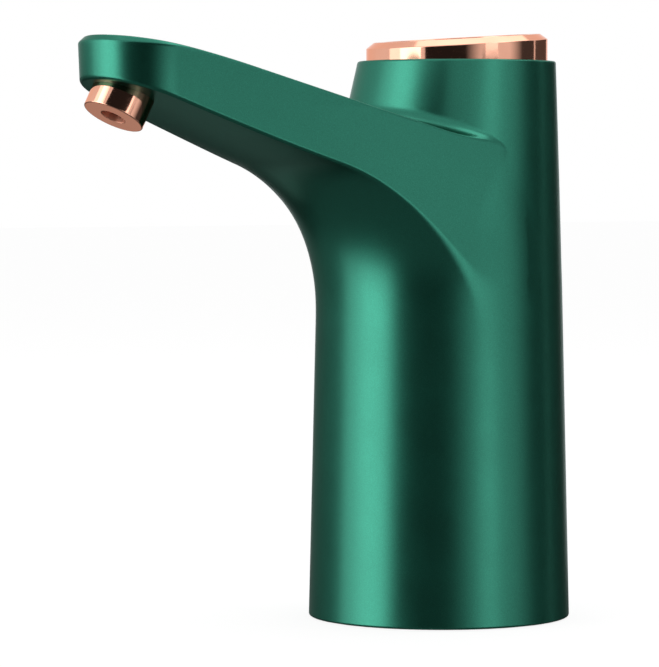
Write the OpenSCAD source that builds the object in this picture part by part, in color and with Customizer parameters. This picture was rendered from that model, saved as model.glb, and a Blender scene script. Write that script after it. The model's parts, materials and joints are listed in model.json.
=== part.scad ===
// Electric water jug pump, an assembly of separate pieces, in millimetres.
// Z is up, the spout arm points along -X and Z = 0 is the foot of the housing.

/* [Body] */
// Outside diameter at the foot
base_d = 68; // [67:0.25:69]
// Outside diameter at the waist
waist_d = 63.6; // [63:0.1:64.2]
// Height of the waist, where the neck starts to lean back
waist_z = 95; // [94:0.25:96]
// Height of the neck's rim
rim_z = 144.4; // [143.6:0.2:146]
// Angle by which the neck leans back
neck_lean = 6.9; // [6.6:0.1:7.2]
// Half angle of the neck's cone
neck_taper = 7.2; // [7:0.1:7.4]
// Wall of the moulded shell
wall = 2.4; // [2.2:0.1:2.5]

/* [Spout arm] */
// From the body's axis to the centre of the round tip
arm_reach = 92.8; // [91:0.1:94]
// Radius of the round tip, seen from above
tip_r = 16.8; // [16.4:0.1:17.2]
// Height of the arm's top, produced to the body's axis
top_z = 121; // [120:0.25:122]
// Height that the straight top gains from the axis to the tip's centre
top_rise = 25.74; // [25.2:0.01:26.2]
// How far short of the tip's centre the top starts to level out
top_bend_l = 18.8; // [17:0.1:20]
// How quickly the top levels out towards the tip
top_bend = 0.0025; // [0.002:0.0001:0.003]
// Height that the underside gains from the waist's radius to the tip's centre
under_rise = 23.05; // [22.6:0.01:23.4]
// Height of the underside, produced to the waist's radius
knee_z = 109; // [108:0.25:110]
// Height at which the underside leaves the body
flare_z = 80; // [76:0.5:84]
// Distance from the axis at which the underside is straight
flare_r = 54.5; // [50:0.5:60]
// Thickness of the spout's lid
lid_t = 2.2; // [2:0.1:2.4]
// Width of the wall's edge left round the lid
lid_in = 1.5; // [1.3:0.1:1.7]
// Gap of the seam round the lid
seam = 0.15; // [0.1:0.05:0.2]

/* [Nozzle] */
// Outside diameter of the nozzle
nozzle_d = 15.4; // [14:0.2:16]
// Bore of the nozzle
nozzle_bore = 6.3; // [5.5:0.1:7]
// Angle by which the nozzle points outward
nozzle_tilt = 28; // [26:0.5:30]
// How far the nozzle's centre hangs below the underside
nozzle_drop = 6.5; // [5.5:0.1:7]

/* [Top key] */
// Outside diameter of the bezel
bezel_d = 47.3; // [46.8:0.1:47.4]
// Width of the bezel's chamfer
bezel_chamfer = 2; // [1.6:0.1:2.2]
// Height of the bezel's top above the rim, in the middle
bezel_h = 6.1; // [5.8:0.1:6.4]
// Slant of the bezel's top
top_slant = 4; // [3.5:0.1:4.5]
// Diameter of the key
key_d = 37; // [35:0.5:38]
// Travel of the key
key_travel = 1; // [0.8:0.1:1.2]

/* [Jug socket] */
// Wall of the socket's ring, between the shell and the jug's neck
adapter_wall = 2.85; // [2.6:0.05:3]
// Depth of the socket
socket_depth = 25; // [24:0.5:26]
// Thickness of the deck over the socket
deck_t = 3.5; // [3:0.25:4]
// Outside diameter of the suction spigot
spigot_d = 8; // [7.6:0.1:8.4]
// Bore of the water path
bore_d = 3.8; // [3.4:0.1:4]

/* [Drive] */
// Diameter of the cell
cell_d = 18.3; // [18:0.1:18.5]
// Length of the cell
cell_l = 65; // [64.5:0.5:66]
// Diameter of the motor's can
motor_d = 24.4; // [24:0.1:24.6]
// Length of the motor's can
motor_l = 26; // [25:0.5:28]
// Diameter of the motor's shaft
shaft_d = 2; // [2:0.1:2.3]
// Module of the pump's gears
gear_module = 0.8; // [0.78:0.01:0.82]
// Teeth of each pump gear
gear_teeth = 12; // [12:1:12]
// Width of the pump's gears
gear_w = 8; // [7:0.5:9]
// Outside diameter of the hoses
hose_d = 8; // [7.6:0.1:8.2]
// Bore of the hoses, and the diameter of their barbs
hose_bore = 5.2; // [5:0.1:5.4]

/* [Fits] */
// Gap round pieces that slide or turn past each other
slide_gap = 0.3; // [0.25:0.05:0.35]
// Running clearance of a shaft in its bush, on the radius
shaft_gap = 0.03; // [0.02:0.01:0.05]
// Gap round pieces that are fitted and stay put
fit_gap = 0.1; // [0.05:0.05:0.15]

/* [Hidden] */
$fn = 72;

// Body: one straight cone, trimmed by a leaning one that makes the neck
waist_r = waist_d / 2;
body_taper = atan((base_d / 2 - waist_r) / waist_z);
ball_r = waist_r * cos(body_taper);
function body_r(z, off = 0) = base_d / 2 - z * tan(body_taper) - off / cos(body_taper);
function neck_r(t, off = 0) = (ball_r - off) / cos(neck_taper) - t * tan(neck_taper);
neck_back = 0.28;
function leant(p) = [neck_back + p[0] * cos(neck_lean) + p[1] * sin(neck_lean),
                     waist_z - p[0] * sin(neck_lean) + p[1] * cos(neck_lean)];
function rim_edge(s, z) =
  let (q = leant([s * neck_r(0), 0]),
       e = leant([s * neck_r(10), 10]) - q)
  q[0] + e[0] * (z - q[1]) / e[1];
rim_x = (rim_edge(1, rim_z) + rim_edge(-1, rim_z)) / 2;

// Spout arm
top_slope = atan(top_rise / arm_reach);
top_bend_x = arm_reach - top_bend_l;
under_slope = atan(under_rise / (arm_reach - waist_r));
root_in = 0.12;
root_z = waist_z + 37;
root_x = (rim_edge(1, root_z) + rim_edge(-1, root_z)) / 2;
root_r = (rim_edge(1, root_z) - rim_edge(-1, root_z)) / 2 - 0.35;
function arm_top(x) = top_z - tan(top_slope) * x - (x < -top_bend_x ? top_bend * pow(x + top_bend_x, 2) : 0);
function under_z(r, off) = knee_z + tan(under_slope) * (r - waist_r) + off / cos(under_slope);
function under_pts(off) =
  let (p0 = [waist_r - 0.15 - off, flare_z],
       p1 = [p0[0], under_z(p0[0], off)],
       p2 = [flare_r, under_z(flare_r, off)])
  [for (i = [0:12]) let (t = i / 12) (1 - t) * (1 - t) * p0 + 2 * t * (1 - t) * p1 + t * t * p2];

// The lid ends round the neck, one fillet away from it
neck_t = (top_z - waist_z) / (cos(neck_lean) + tan(top_slope) * sin(neck_lean));
neck_x = neck_t * sin(neck_lean);
fillet_r = 3.4;
lid_end_r = neck_r(neck_t) + fillet_r + 2;

// Nozzle axis: where it meets the underside, and how far down the face hangs
nozzle_x = -(arm_reach + 6.9);
nozzle_z = under_z(-nozzle_x, 0);
elbow_s = 3.3;
elbow_l = 5.1;
elbow_r = 5.2;
barb_tip = [sin(nozzle_tilt), 0, cos(nozzle_tilt)];
elbow_c = [nozzle_x, 0, nozzle_z] + (elbow_s + elbow_l / 2) * barb_tip;
barb_dip = 12;

// Top key
seat_z = rim_z - 5.8;
bezel_r = bezel_d / 2;
carrier_t = 2.4;
bezel_z = seat_z + carrier_t;
slant_z = rim_z + bezel_h;
key_r = key_d / 2;
lip_z = bezel_z + 4.6;
flange_t = 1.6;
key_under = lip_z - flange_t - 0.1;
stem_r = 3;
spring_r = 5.4;
spring_wire = 0.8;
board_z = rim_z - 13.4;
board_t = 1.6;
board_gap = 1.4;
board_back = min(rim_edge(1, board_z), body_r(board_z));
board_x = (board_back + rim_edge(-1, board_z)) / 2;
board_r = (board_back - rim_edge(-1, board_z)) / 2 - wall - board_gap;
switch_z = board_z + board_t;
switch_h = 3.4;
plunger_top = switch_z + switch_h + 1.5;
stem_z = plunger_top + slide_gap;

// Jug socket, deck and frame
socket_d = base_d - 2 * (wall + adapter_wall);
deck_z = socket_depth + deck_t;
plate_t = 2.5;
plate_z = deck_z + plate_t;
plate_r = body_r(plate_z, wall) - 2.4;
screw_ring = socket_d / 2 - 9.25;
bead_z = 14;
guide_l = 14;
spigot_l = 9;
gasket_t = 2.2;
gasket_z = socket_depth - gasket_t;
gasket_r = socket_d / 2 - 0.6;
bead_r = 1;

// Drive
gear_c = gear_module * gear_teeth + 0.1;
drive_x = -5;
drive_y = gear_c / 2;
chamber_r = gear_module * (gear_teeth / 2 + 0.8) + slide_gap;
cover_z = deck_z + 15.5;
cover_t = 3;
chamber_z = cover_z + cover_t;
chamber_h = gear_w + 2 * slide_gap;
motor_z = chamber_z + chamber_h + 4.4;
motor_r = motor_d / 2;
can_t = 1;
cap_z = motor_z + motor_l;
cap_t = 3;
shaft_r = shaft_d / 2;
bush_r = 3;
bush_l = 3;
pin_r = 1.5;
pump_r = 11;
port_r = 2.5;
port_dx = 5;
outlet_x = -23;
outlet_z = chamber_z + chamber_h / 2;
outlet_top = outlet_z + 4;
barb_l = 8;
screw_dx = 8.7;
screw_dy = drive_y + 8.3;
screw_r = 1.25;
cell_z = plate_z + 1.5;
cell_r = cell_d / 2;
cradle_r = cell_r + fit_gap;
cradle_wall = 1.2;
cradle_top = cell_z + 46;
cell_top = cell_z + cell_l;
cell_gap = 0.9;
cap_over = 2.5;
cell_x = body_r(cell_top, wall) - cradle_r - cradle_wall - cell_gap;
post_x = 6;
post_y = board_r - 2.8;
post_r = 2.5;
charge_z = cell_top + 8.5;
charge_t = 1.2;
socket_h = 3.2;
socket_w = 9;
socket_l = 7.4;
usb_z = charge_z + charge_t + socket_h / 2;
usb_face = body_r(usb_z) - 0.4;

// Leaning cone that trims the body's own cone into the neck
module neck_cone(off) {
  translate([neck_back, 0, waist_z])
    rotate([0, neck_lean, 0])
      translate([0, 0, -30])
        cylinder(h = 110, r1 = neck_r(-30, off), r2 = neck_r(80, off));
}

// Tapered body up to the height top, moved inward by off
module body_form(off, top) {
  difference() {
    cylinder(h = top, r1 = body_r(0, off), r2 = body_r(top, off));
    difference() {
      translate([-60, -60, waist_z - 10])
        cube([120, 120, top]);
      neck_cone(off);
    }
  }
}

// Plan of the arm: its sides run from the round tip and lie along the body and the neck
module arm_plan(off) {
  hull() {
    translate([-arm_reach, 0, flare_z])
      cylinder(h = 80, r = tip_r - off, $fn = 96);
    for (z = [flare_z - 2, waist_z])
      translate([0, 0, z])
        cylinder(h = 0.01, r = body_r(z) - root_in - off, $fn = 96);
    translate([root_x, 0, root_z])
      cylinder(h = 0.01, r = root_r - off, $fn = 96);
  }
}

// Everything below the arm's top, lowered by drop
module under_top(drop) {
  pts = [for (i = [0:14]) let (x = -top_bend_x - i * 3) [x, arm_top(x) - drop]];
  rotate([90, 0, 0])
    linear_extrude(height = 120, center = true)
      polygon(concat([[40, 60], [40, arm_top(40) - drop]], pts, [[-top_bend_x - 42, 60]]));
}

// Everything above the arm's underside, a curve turned round the body's axis
module over_under(off) {
  rotate_extrude($fn = 144)
    polygon(concat([[0, flare_z]], under_pts(off), [[124, under_z(124, off)], [124, 165], [0, 165]]));
}

module arm_form(off, drop) {
  intersection() {
    over_under(off);
    arm_plan(off);
    under_top(drop);
  }
}

// Hollow fillet between the arm's top and the neck
module neck_fillet() {
  r = neck_r(neck_t) - 0.7;
  intersection() {
    translate([neck_x, 0, arm_top(neck_x)])
      rotate([0, top_slope, 0])
        rotate_extrude()
          difference() {
            translate([r - 2.5, -1])
              square([fillet_r + 2.5, fillet_r + 1]);
            translate([r + fillet_r, fillet_r - 0.1])
              circle(r = fillet_r, $fn = 48);
          }
    arm_plan(0.15);
  }
}

module lid_end(gap) {
  translate([neck_x, 0, 90])
    cylinder(h = 80, r = lid_end_r + gap, $fn = 96);
}

module nozzle_frame() {
  translate([nozzle_x, 0, nozzle_z])
    rotate([0, nozzle_tilt, 0])
      children();
}

// Flat plate with round ends, drawn along Y
module oblong(len, r) {
  translate([-r, -len / 2])
    square([2 * r, len]);
  for (s = [-1, 1])
    translate([0, s * len / 2])
      circle(r = r);
}

module housing() {
  color("#1f6a52")
    difference() {
      union() {
        body_form(0, rim_z);
        arm_form(0, 0);
        neck_fillet();
      }
      // pocket for the lid
      difference() {
        arm_plan(lid_in);
        under_top(lid_t);
        lid_end(0);
      }
      // hollow body and trough
      translate([0, 0, -0.01])
        body_form(wall, seat_z - 2);
      arm_form(wall, lid_t - 0.3);
      translate([rim_x, 0, seat_z - 3])
        cylinder(h = 4, r = bezel_r - 2.2);
      translate([rim_x, 0, seat_z])
        cylinder(h = 20, r = bezel_r + fit_gap, $fn = 96);
      // groove for the adapter's bead
      translate([0, 0, bead_z])
        rotate_extrude()
          translate([body_r(bead_z, wall) - fit_gap, 0])
            circle(r = bead_r + fit_gap, $fn = 24);
      // way through the underside for the nozzle's neck
      nozzle_frame()
        translate([0, 0, -4])
          cylinder(h = 12, r = elbow_r - 0.2 + fit_gap);
      // window of the charging socket
      translate([usb_face - 6, 0, usb_z])
        rotate([90, 0, 90])
          linear_extrude(height = 10)
            rotate([0, 0, 90])
              oblong(socket_w - socket_h, socket_h / 2 + fit_gap);
    }
}

module spout_lid() {
  color("#1f6a52")
    difference() {
      union() {
        difference() {
          intersection() {
            arm_plan(lid_in + seam);
            under_top(0);
          }
          under_top(lid_t);
        }
        // lip that sits inside the trough
        difference() {
          intersection() {
            arm_plan(wall + fit_gap);
            under_top(lid_t - 0.4);
          }
          under_top(lid_t + 1.6);
          translate([0, 0, -0.5])
            arm_plan(wall + fit_gap + 1.4);
        }
      }
      lid_end(seam);
    }
}

module nozzle() {
  color("#b9806c")
    difference() {
      union() {
        difference() {
          nozzle_frame()
            translate([0, 0, -nozzle_drop])
              cylinder(h = nozzle_drop + 6, d = nozzle_d);
          over_under(-fit_gap);
        }
        nozzle_frame()
          translate([0, 0, -nozzle_drop + 2])
            cylinder(h = nozzle_drop - 2 + elbow_s, r = elbow_r - 0.2);
        nozzle_frame()
          cylinder(h = elbow_s + 2.2, r = 3.6);
      }
      nozzle_frame()
        translate([0, 0, -nozzle_drop - 1])
          cylinder(h = nozzle_drop + 3, d = nozzle_bore);
      nozzle_frame()
        cylinder(h = 20, d = bore_d);
    }
}

module outlet_elbow() {
  color("#d8d8d2")
    difference() {
      union() {
        nozzle_frame()
          translate([0, 0, elbow_s])
            cylinder(h = elbow_l, r = elbow_r);
        translate(elbow_c)
          rotate([0, 90 + barb_dip, 0])
            cylinder(h = elbow_r + barb_l, d = hose_bore);
      }
      nozzle_frame()
        translate([0, 0, elbow_s - 1])
          cylinder(h = 3.2, r = 3.6);
      nozzle_frame()
        translate([0, 0, elbow_s])
          cylinder(h = elbow_l / 2 + 1, d = bore_d);
      translate(elbow_c)
        rotate([0, 90 + barb_dip, 0])
          cylinder(h = 30, d = bore_d);
    }
}

// Tube swept along a list of points, hollow when r_in is above zero
module sweep(path, r_out, r_in, n) {
  m = len(path);
  dirs = [for (i = [0:m - 1]) let (d = path[min(i + 1, m - 1)] - path[max(i - 1, 0)]) d / norm(d)];
  ref = [0.05, 1, 0.02];
  us = [for (d = dirs) let (c = cross(ref, d)) c / norm(c)];
  vs = [for (i = [0:m - 1]) cross(dirs[i], us[i])];
  function ring(r) = [for (i = [0:m - 1], j = [0:n - 1])
    path[i] + r * (cos(360 * j / n) * us[i] + sin(360 * j / n) * vs[i])];
  k = m * n;
  hollow = r_in > 0;
  outer = [for (i = [0:m - 2], j = [0:n - 1]) let (a = i * n + j, b = i * n + (j + 1) % n) [a, a + n, b + n, b]];
  inner = [for (i = [0:m - 2], j = [0:n - 1]) let (a = k + i * n + j, b = k + i * n + (j + 1) % n) [a, b, b + n, a + n]];
  ends = hollow
    ? [for (j = [0:n - 1], e = [0, 1]) let (q = (j + 1) % n, o = (m - 1) * n)
        e == 0 ? [j, q, k + q, k + j] : [o + q, o + j, k + o + j, k + o + q]]
    : [[for (j = [0:n - 1]) j], [for (j = [n - 1:-1:0]) (m - 1) * n + j]];
  polyhedron(points = hollow ? concat(ring(r_out), ring(r_in)) : ring(r_out),
             faces = hollow ? concat(outer, inner, ends) : concat(outer, ends),
             convexity = 6);
}

module delivery_hose() {
  barb = [cos(barb_dip), 0, -sin(barb_dip)];
  e0 = elbow_c + (elbow_r + 0.4) * barb;
  e1 = elbow_c + (elbow_r + barb_l + 3) * barb;
  // point of the hose in the trough, at a share of its length, a little above the middle of the floor and the lid
  function in_arm(f) =
    let (x = outlet_x - 7 - f * (arm_reach - 30 - waist_r + 27.5))
    [x, 0, (arm_top(x) - lid_t + under_z(-x, wall)) / 2 + 0.2];
  route = [
    [outlet_x, 0, outlet_top + 0.4], [outlet_x, 0, outlet_top + 14], [outlet_x, 0, waist_z - 11],
    [outlet_x - 0.2, 0, waist_z - 1], [outlet_x - 1.4, 0, waist_z + 7], [outlet_x - 4.2, 0, waist_z + 14],
    [outlet_x - 8.8, 0, waist_z + 20], in_arm(0.165), in_arm(0.304), in_arm(0.513), in_arm(0.722), e1, e0
  ];
  color("#cfd6d2")
    sweep(route, hose_d / 2, (hose_bore / 2 + 0.02) / cos(180 / 12), 12);
}

module bezel() {
  color("#b9806c")
    difference() {
      intersection() {
        translate([rim_x, 0, bezel_z])
          cylinder(h = 20, r = bezel_r, $fn = 96);
        // slanted top with its chamfer
        translate([rim_x, 0, slant_z])
          rotate([0, -top_slant, 0])
            translate([0, 0, -40])
              cylinder(h = 40, r1 = bezel_r - bezel_chamfer + 40 / 0.75, r2 = bezel_r - bezel_chamfer);
      }
      translate([rim_x, 0, bezel_z - 1])
        cylinder(h = 30, r = key_r + slide_gap);
      translate([rim_x, 0, bezel_z - 1])
        cylinder(h = lip_z - bezel_z + 1, r = key_r + 1 + slide_gap);
    }
}

module push_button() {
  color("#c08a76")
    difference() {
      union() {
        intersection() {
          translate([rim_x, 0, key_under])
            cylinder(h = 20, r = key_r);
          translate([rim_x, 0, slant_z - 0.6])
            rotate([0, -top_slant, 0])
              translate([0, 0, -40])
                cylinder(h = 40, r1 = key_r + 59.4, r2 = key_r - 0.6);
        }
        translate([rim_x, 0, key_under])
          cylinder(h = flange_t - 0.2, r = key_r + 1);
        translate([rim_x, 0, stem_z])
          cylinder(h = key_under - stem_z + 1, r = stem_r);
      }
      // shallow finger dish, square to the slanted top
      translate([rim_x, 0, slant_z - 0.6])
        rotate([0, -top_slant, 0])
          translate([0, 0, 119.2])
            sphere(r = 120, $fn = 180);
    }
}

module button_carrier() {
  color("#3a3d3f")
    difference() {
      translate([rim_x, 0, seat_z])
        cylinder(h = carrier_t, r = bezel_r);
      translate([rim_x, 0, seat_z - 1])
        cylinder(h = 10, r = stem_r + slide_gap);
    }
}

module button_spring() {
  turns = 3;
  z0 = bezel_z + spring_wire / 2;
  z1 = key_under - spring_wire / 2 - 0.02;
  route = [for (i = [0:turns * 8]) let (a = i * 45)
    [rim_x + spring_r * cos(a), spring_r * sin(a), z0 + (z1 - z0) * i / (turns * 8)]];
  color("#b8bcc0")
    coil(route, spring_wire / 2);
}

// Wire of a coil: rings stand across the wire, six sides each
module coil(path, r) {
  m = len(path);
  n = 6;
  dirs = [for (i = [0:m - 1]) let (d = path[min(i + 1, m - 1)] - path[max(i - 1, 0)]) d / norm(d)];
  us = [for (d = dirs) let (c = cross([0, 0, 1], d)) c / norm(c)];
  vs = [for (i = [0:m - 1]) cross(dirs[i], us[i])];
  pts = [for (i = [0:m - 1], j = [0:n - 1]) path[i] + r * (cos(60 * j) * us[i] + sin(60 * j) * vs[i])];
  polyhedron(points = pts,
             faces = concat([for (i = [0:m - 2], j = [0:n - 1])
                               let (a = i * n + j, b = i * n + (j + 1) % n) [a, a + n, b + n, b]],
                            [[for (j = [0:n - 1]) j], [for (j = [n - 1:-1:0]) (m - 1) * n + j]]),
             convexity = 8);
}

module switch_body() {
  color("#2a2c2e")
    difference() {
      translate([rim_x - 3, -3, switch_z])
        cube([6, 6, switch_h]);
      translate([rim_x, 0, switch_z + 0.6])
        cylinder(h = 10, r = 1.7 + slide_gap);
    }
}

module switch_plunger() {
  z0 = switch_z + 0.6 + key_travel + slide_gap;
  color("#8a2d24")
    translate([rim_x, 0, z0])
      cylinder(h = plunger_top - z0, r = 1.7);
}

module control_board() {
  color("#1d5a3a")
    difference() {
      translate([board_x, 0, board_z])
        cylinder(h = board_t, r = board_r);
      for (s = [-1, 1])
        translate([post_x, s * post_y, board_z - 1])
          cylinder(h = 5, r = 1, $fn = 32);
    }
}

module board_screws() {
  color("#9a9da0")
    for (s = [-1, 1])
      translate([post_x, s * post_y, board_z + board_t]) {
        cylinder(h = 1.2, r = 1.9, $fn = 32);
        translate([0, 0, -8])
          cylinder(h = 8.2, r = 1, $fn = 32);
      }
}

module inner_frame() {
  color("#d9d7cf")
    difference() {
      union() {
        translate([0, 0, deck_z])
          cylinder(h = plate_t, r = plate_r);
        for (a = [60, 180, 300])
          rotate([0, 0, a])
            translate([screw_ring, 0, deck_z])
              cylinder(h = 9, r = 3.2);
        // cradle of the cell
        translate([cell_x, 0, plate_z - 0.5])
          cylinder(h = cradle_top - plate_z + 0.5, r = cradle_r + cradle_wall);
        // posts under the pump
        for (p = [[-12.5, 9.6], [-12.5, -7.5], [1, -10]])
          translate([p[0], p[1], deck_z + 1])
            cylinder(h = cover_z - deck_z - 1, r = 2);
        // posts of the control board, and the ring that steadies the motor
        for (s = [-1, 1])
          translate([post_x, s * post_y, deck_z + 1])
            cylinder(h = board_z - deck_z - 1, r = post_r);
        translate([drive_x, drive_y, motor_z + 14])
          cylinder(h = 4, r = motor_r + fit_gap + 1.6);
        translate([drive_x + 6, drive_y + 11, motor_z + 14])
          rotate([0, 0, 45])
            cube([10, 4, 4]);
        for (s = [-1, 1])
          translate([cell_x - 6, s * 12 - 1.5, motor_z + 14])
            rotate([0, 0, s > 0 ? 128 : -128])
              translate([-6, -1.5, 0])
                cube([16, 3, 4]);
      }
      translate([0, 0, deck_z - 1])
        cylinder(h = 10, r = hose_d / 2 + 1.5);
      for (a = [60, 180, 300])
        rotate([0, 0, a])
          translate([screw_ring, 0, deck_z - 1])
            cylinder(h = 9, r = 1.5, $fn = 32);
      translate([cell_x, 0, cell_z])
        cylinder(h = 80, r = cradle_r);
      translate([drive_x, drive_y, motor_z])
        cylinder(h = 30, r = motor_r + fit_gap);
      for (s = [-1, 1])
        translate([post_x, s * post_y, board_z - 9])
          cylinder(h = 10, r = 1, $fn = 32);
    }
}

module neck_adapter() {
  color("#e4e4de")
    difference() {
      union() {
        difference() {
          cylinder(h = deck_z, r1 = body_r(0, wall) - fit_gap, r2 = body_r(deck_z, wall) - fit_gap, $fn = 96);
          translate([0, 0, -1])
            cylinder(h = guide_l + 1, d = socket_d, $fn = 96);
          cylinder(h = socket_depth, r = gasket_r + fit_gap, $fn = 96);
        }
        difference() {
          translate([0, 0, bead_z])
            rotate_extrude()
              translate([body_r(bead_z, wall) - fit_gap, 0])
                circle(r = bead_r, $fn = 24);
          cylinder(h = socket_depth, d = socket_d + 1);
        }
        translate([0, 0, socket_depth - spigot_l])
          cylinder(h = spigot_l + 1, d = spigot_d);
        translate([0, 0, deck_z - 1])
          cylinder(h = barb_l + 1, d = hose_bore);
      }
      translate([0, 0, 0])
        cylinder(h = 60, d = bore_d);
      for (a = [60, 180, 300])
        rotate([0, 0, a])
          translate([screw_ring, 0, socket_depth - 1])
            cylinder(h = 10, r = 1.5 + fit_gap, $fn = 32);
    }
}

module neck_gasket() {
  color("#5c6063")
    translate([0, 0, gasket_z])
      difference() {
        cylinder(h = gasket_t, r = gasket_r, $fn = 96);
        translate([0, 0, -1])
          cylinder(h = 5, r = gasket_r - 4.4);
      }
}

module base_screws() {
  color("#9a9da0")
    for (a = [60, 180, 300])
      rotate([0, 0, a])
        translate([screw_ring, 0, socket_depth]) {
          translate([0, 0, -1.8])
            cylinder(h = 1.8, r = 2.8, $fn = 32);
          translate([0, 0, -0.5])
            cylinder(h = deck_t + 8, r = 1.5, $fn = 32);
        }
}

module battery_cell() {
  color("#3f6fb0")
    translate([cell_x, 0, cell_z]) {
      cylinder(h = cell_l - 1.5, r = cell_r);
      cylinder(h = cell_l, r = 3.2);
    }
}

module battery_cap() {
  color("#d9d7cf")
    difference() {
      union() {
        translate([cell_x, 0, cell_top - 8])
          cylinder(h = 8 + cap_over, r = cradle_r + cradle_wall);
        for (s = [-1, 1])
          translate([cell_x, s * 4, cell_top + 1])
            cylinder(h = charge_z - cell_top - 1, r = 1.8, $fn = 32);
      }
      translate([cell_x, 0, cell_top - 9])
        cylinder(h = 7.5, r = cradle_r);
      translate([cell_x, 0, cell_top - 9])
        cylinder(h = 9, r = 3.2 + fit_gap);
    }
}

module charge_board() {
  color("#1d5a3a")
    translate([cell_x - 5, -6.5, charge_z])
      cube([usb_face - cell_x + 1.5, 13, charge_t]);
}

module charge_socket() {
  color("#b8bcc0")
    translate([usb_face - socket_l, 0, usb_z])
      rotate([90, 0, 90]) {
        difference() {
          linear_extrude(height = socket_l)
            rotate([0, 0, 90])
              oblong(socket_w - socket_h, socket_h / 2);
          translate([0, 0, 1])
            linear_extrude(height = socket_l)
              rotate([0, 0, 90])
                oblong(socket_w - socket_h, socket_h / 2 - 0.3);
        }
        translate([-3.3, -0.35, 0.5])
          cube([6.6, 0.7, socket_l - 1.5]);
      }
}

module battery_wires() {
  z0 = cell_top + cap_over;
  lift = board_z - z0;
  color("#b03a2e")
    for (s = [-1, 1])
      sweep([[cell_x - 5, s * 5, z0], [cell_x - 5, s * 5, z0 + 0.04 * lift], [cell_x - 6.3, s * 5.7, z0 + 0.13 * lift],
             [cell_x - 8, s * 6.6, z0 + 0.25 * lift], [cell_x - 9, s * 7.2, z0 + 0.4 * lift],
             [cell_x - 9.6, s * 7.6, z0 + 0.6 * lift], [cell_x - 9.8, s * 7.8, board_z]],
            0.8, 0, 8);
}

module motor_wires() {
  z0 = cap_z + cap_t + 4;
  lift = board_z - z0;
  color("#30343a")
    for (s = [-1, 1])
      sweep([[drive_x, drive_y + s * 6.5, z0], [drive_x + 0.4, drive_y + s * 6.3, z0 + 0.13 * lift],
             [drive_x + 1, drive_y + s * 5.8, z0 + 0.28 * lift], [drive_x + 1.4, drive_y + s * 5.2, z0 + 0.46 * lift],
             [drive_x + 1.6, drive_y + s * 4.9, z0 + 0.66 * lift], [drive_x + 1.6, drive_y + s * 4.8, board_z]],
            0.8, 0, 8);
}

module at_motor(z) {
  translate([drive_x, drive_y, z])
    children();
}

module motor_can() {
  color("#a7abaf")
    difference() {
      at_motor(motor_z)
        cylinder(h = motor_l, r = motor_r);
      at_motor(motor_z + can_t)
        cylinder(h = motor_l, r = motor_r - can_t);
      at_motor(motor_z - 1)
        cylinder(h = 5, r = bush_r);
      for (s = [-1, 1])
        translate([drive_x + s * screw_dx, drive_y, motor_z - 1])
          cylinder(h = 5, r = screw_r, $fn = 32);
    }
}

module motor_end_cap() {
  color("#2a2c2e")
    difference() {
      union() {
        at_motor(cap_z)
          cylinder(h = cap_t, r = motor_r);
        at_motor(cap_z - 1.5)
          cylinder(h = 2, r = motor_r - can_t - 0.05);
      }
      at_motor(cap_z - 3)
        cylinder(h = 5.5, r = bush_r);
      for (s = [-1, 1])
        translate([drive_x - 0.4, drive_y + s * 6.5 - 1.2, cap_z - 3])
          cube([0.8, 2.4, 8]);
    }
}

module motor_magnets() {
  color("#3c3f42")
    difference() {
      at_motor(motor_z + 4)
        cylinder(h = motor_l - 7, r = motor_r - can_t);
      at_motor(motor_z)
        cylinder(h = motor_l, r = motor_r - can_t - 2);
      at_motor(motor_z)
        translate([-3, -20, 0])
          cube([6, 40, motor_l]);
    }
}

module motor_bushes() {
  color("#b98a3e")
    for (z = [motor_z, cap_z - 0.5])
      difference() {
        at_motor(z)
          cylinder(h = bush_l, r = bush_r);
        at_motor(z - 1)
          cylinder(h = bush_l + 2, r = shaft_r + shaft_gap);
      }
}

module motor_terminals() {
  color("#c9a24a")
    for (s = [-1, 1])
      translate([drive_x - 0.4, drive_y + s * 6.5 - 1.2, cap_z - 1])
        cube([0.8, 2.4, cap_t + 5]);
}

module motor_shaft() {
  z0 = chamber_z + slide_gap;
  color("#c4c7ca")
    at_motor(z0)
      cylinder(h = cap_z + 2 - z0, r = shaft_r);
}

module armature() {
  z0 = motor_z + 6;
  color("#8a5a34")
    difference() {
      union() {
        at_motor(z0)
          cylinder(h = motor_l - 11, r = motor_r - can_t - 2.4);
        at_motor(z0)
          cylinder(h = motor_l - 7.5, r = 3);
      }
      at_motor(z0 - 1)
        cylinder(h = motor_l, r = shaft_r);
      for (a = [0, 120, 240])
        at_motor(z0 - 1)
          rotate([0, 0, a])
            translate([3.6, -1.1, 0])
              cube([12, 2.2, motor_l]);
    }
}

module pump_outline(r) {
  translate([drive_x, 0])
    oblong(gear_c, r);
}

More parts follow.
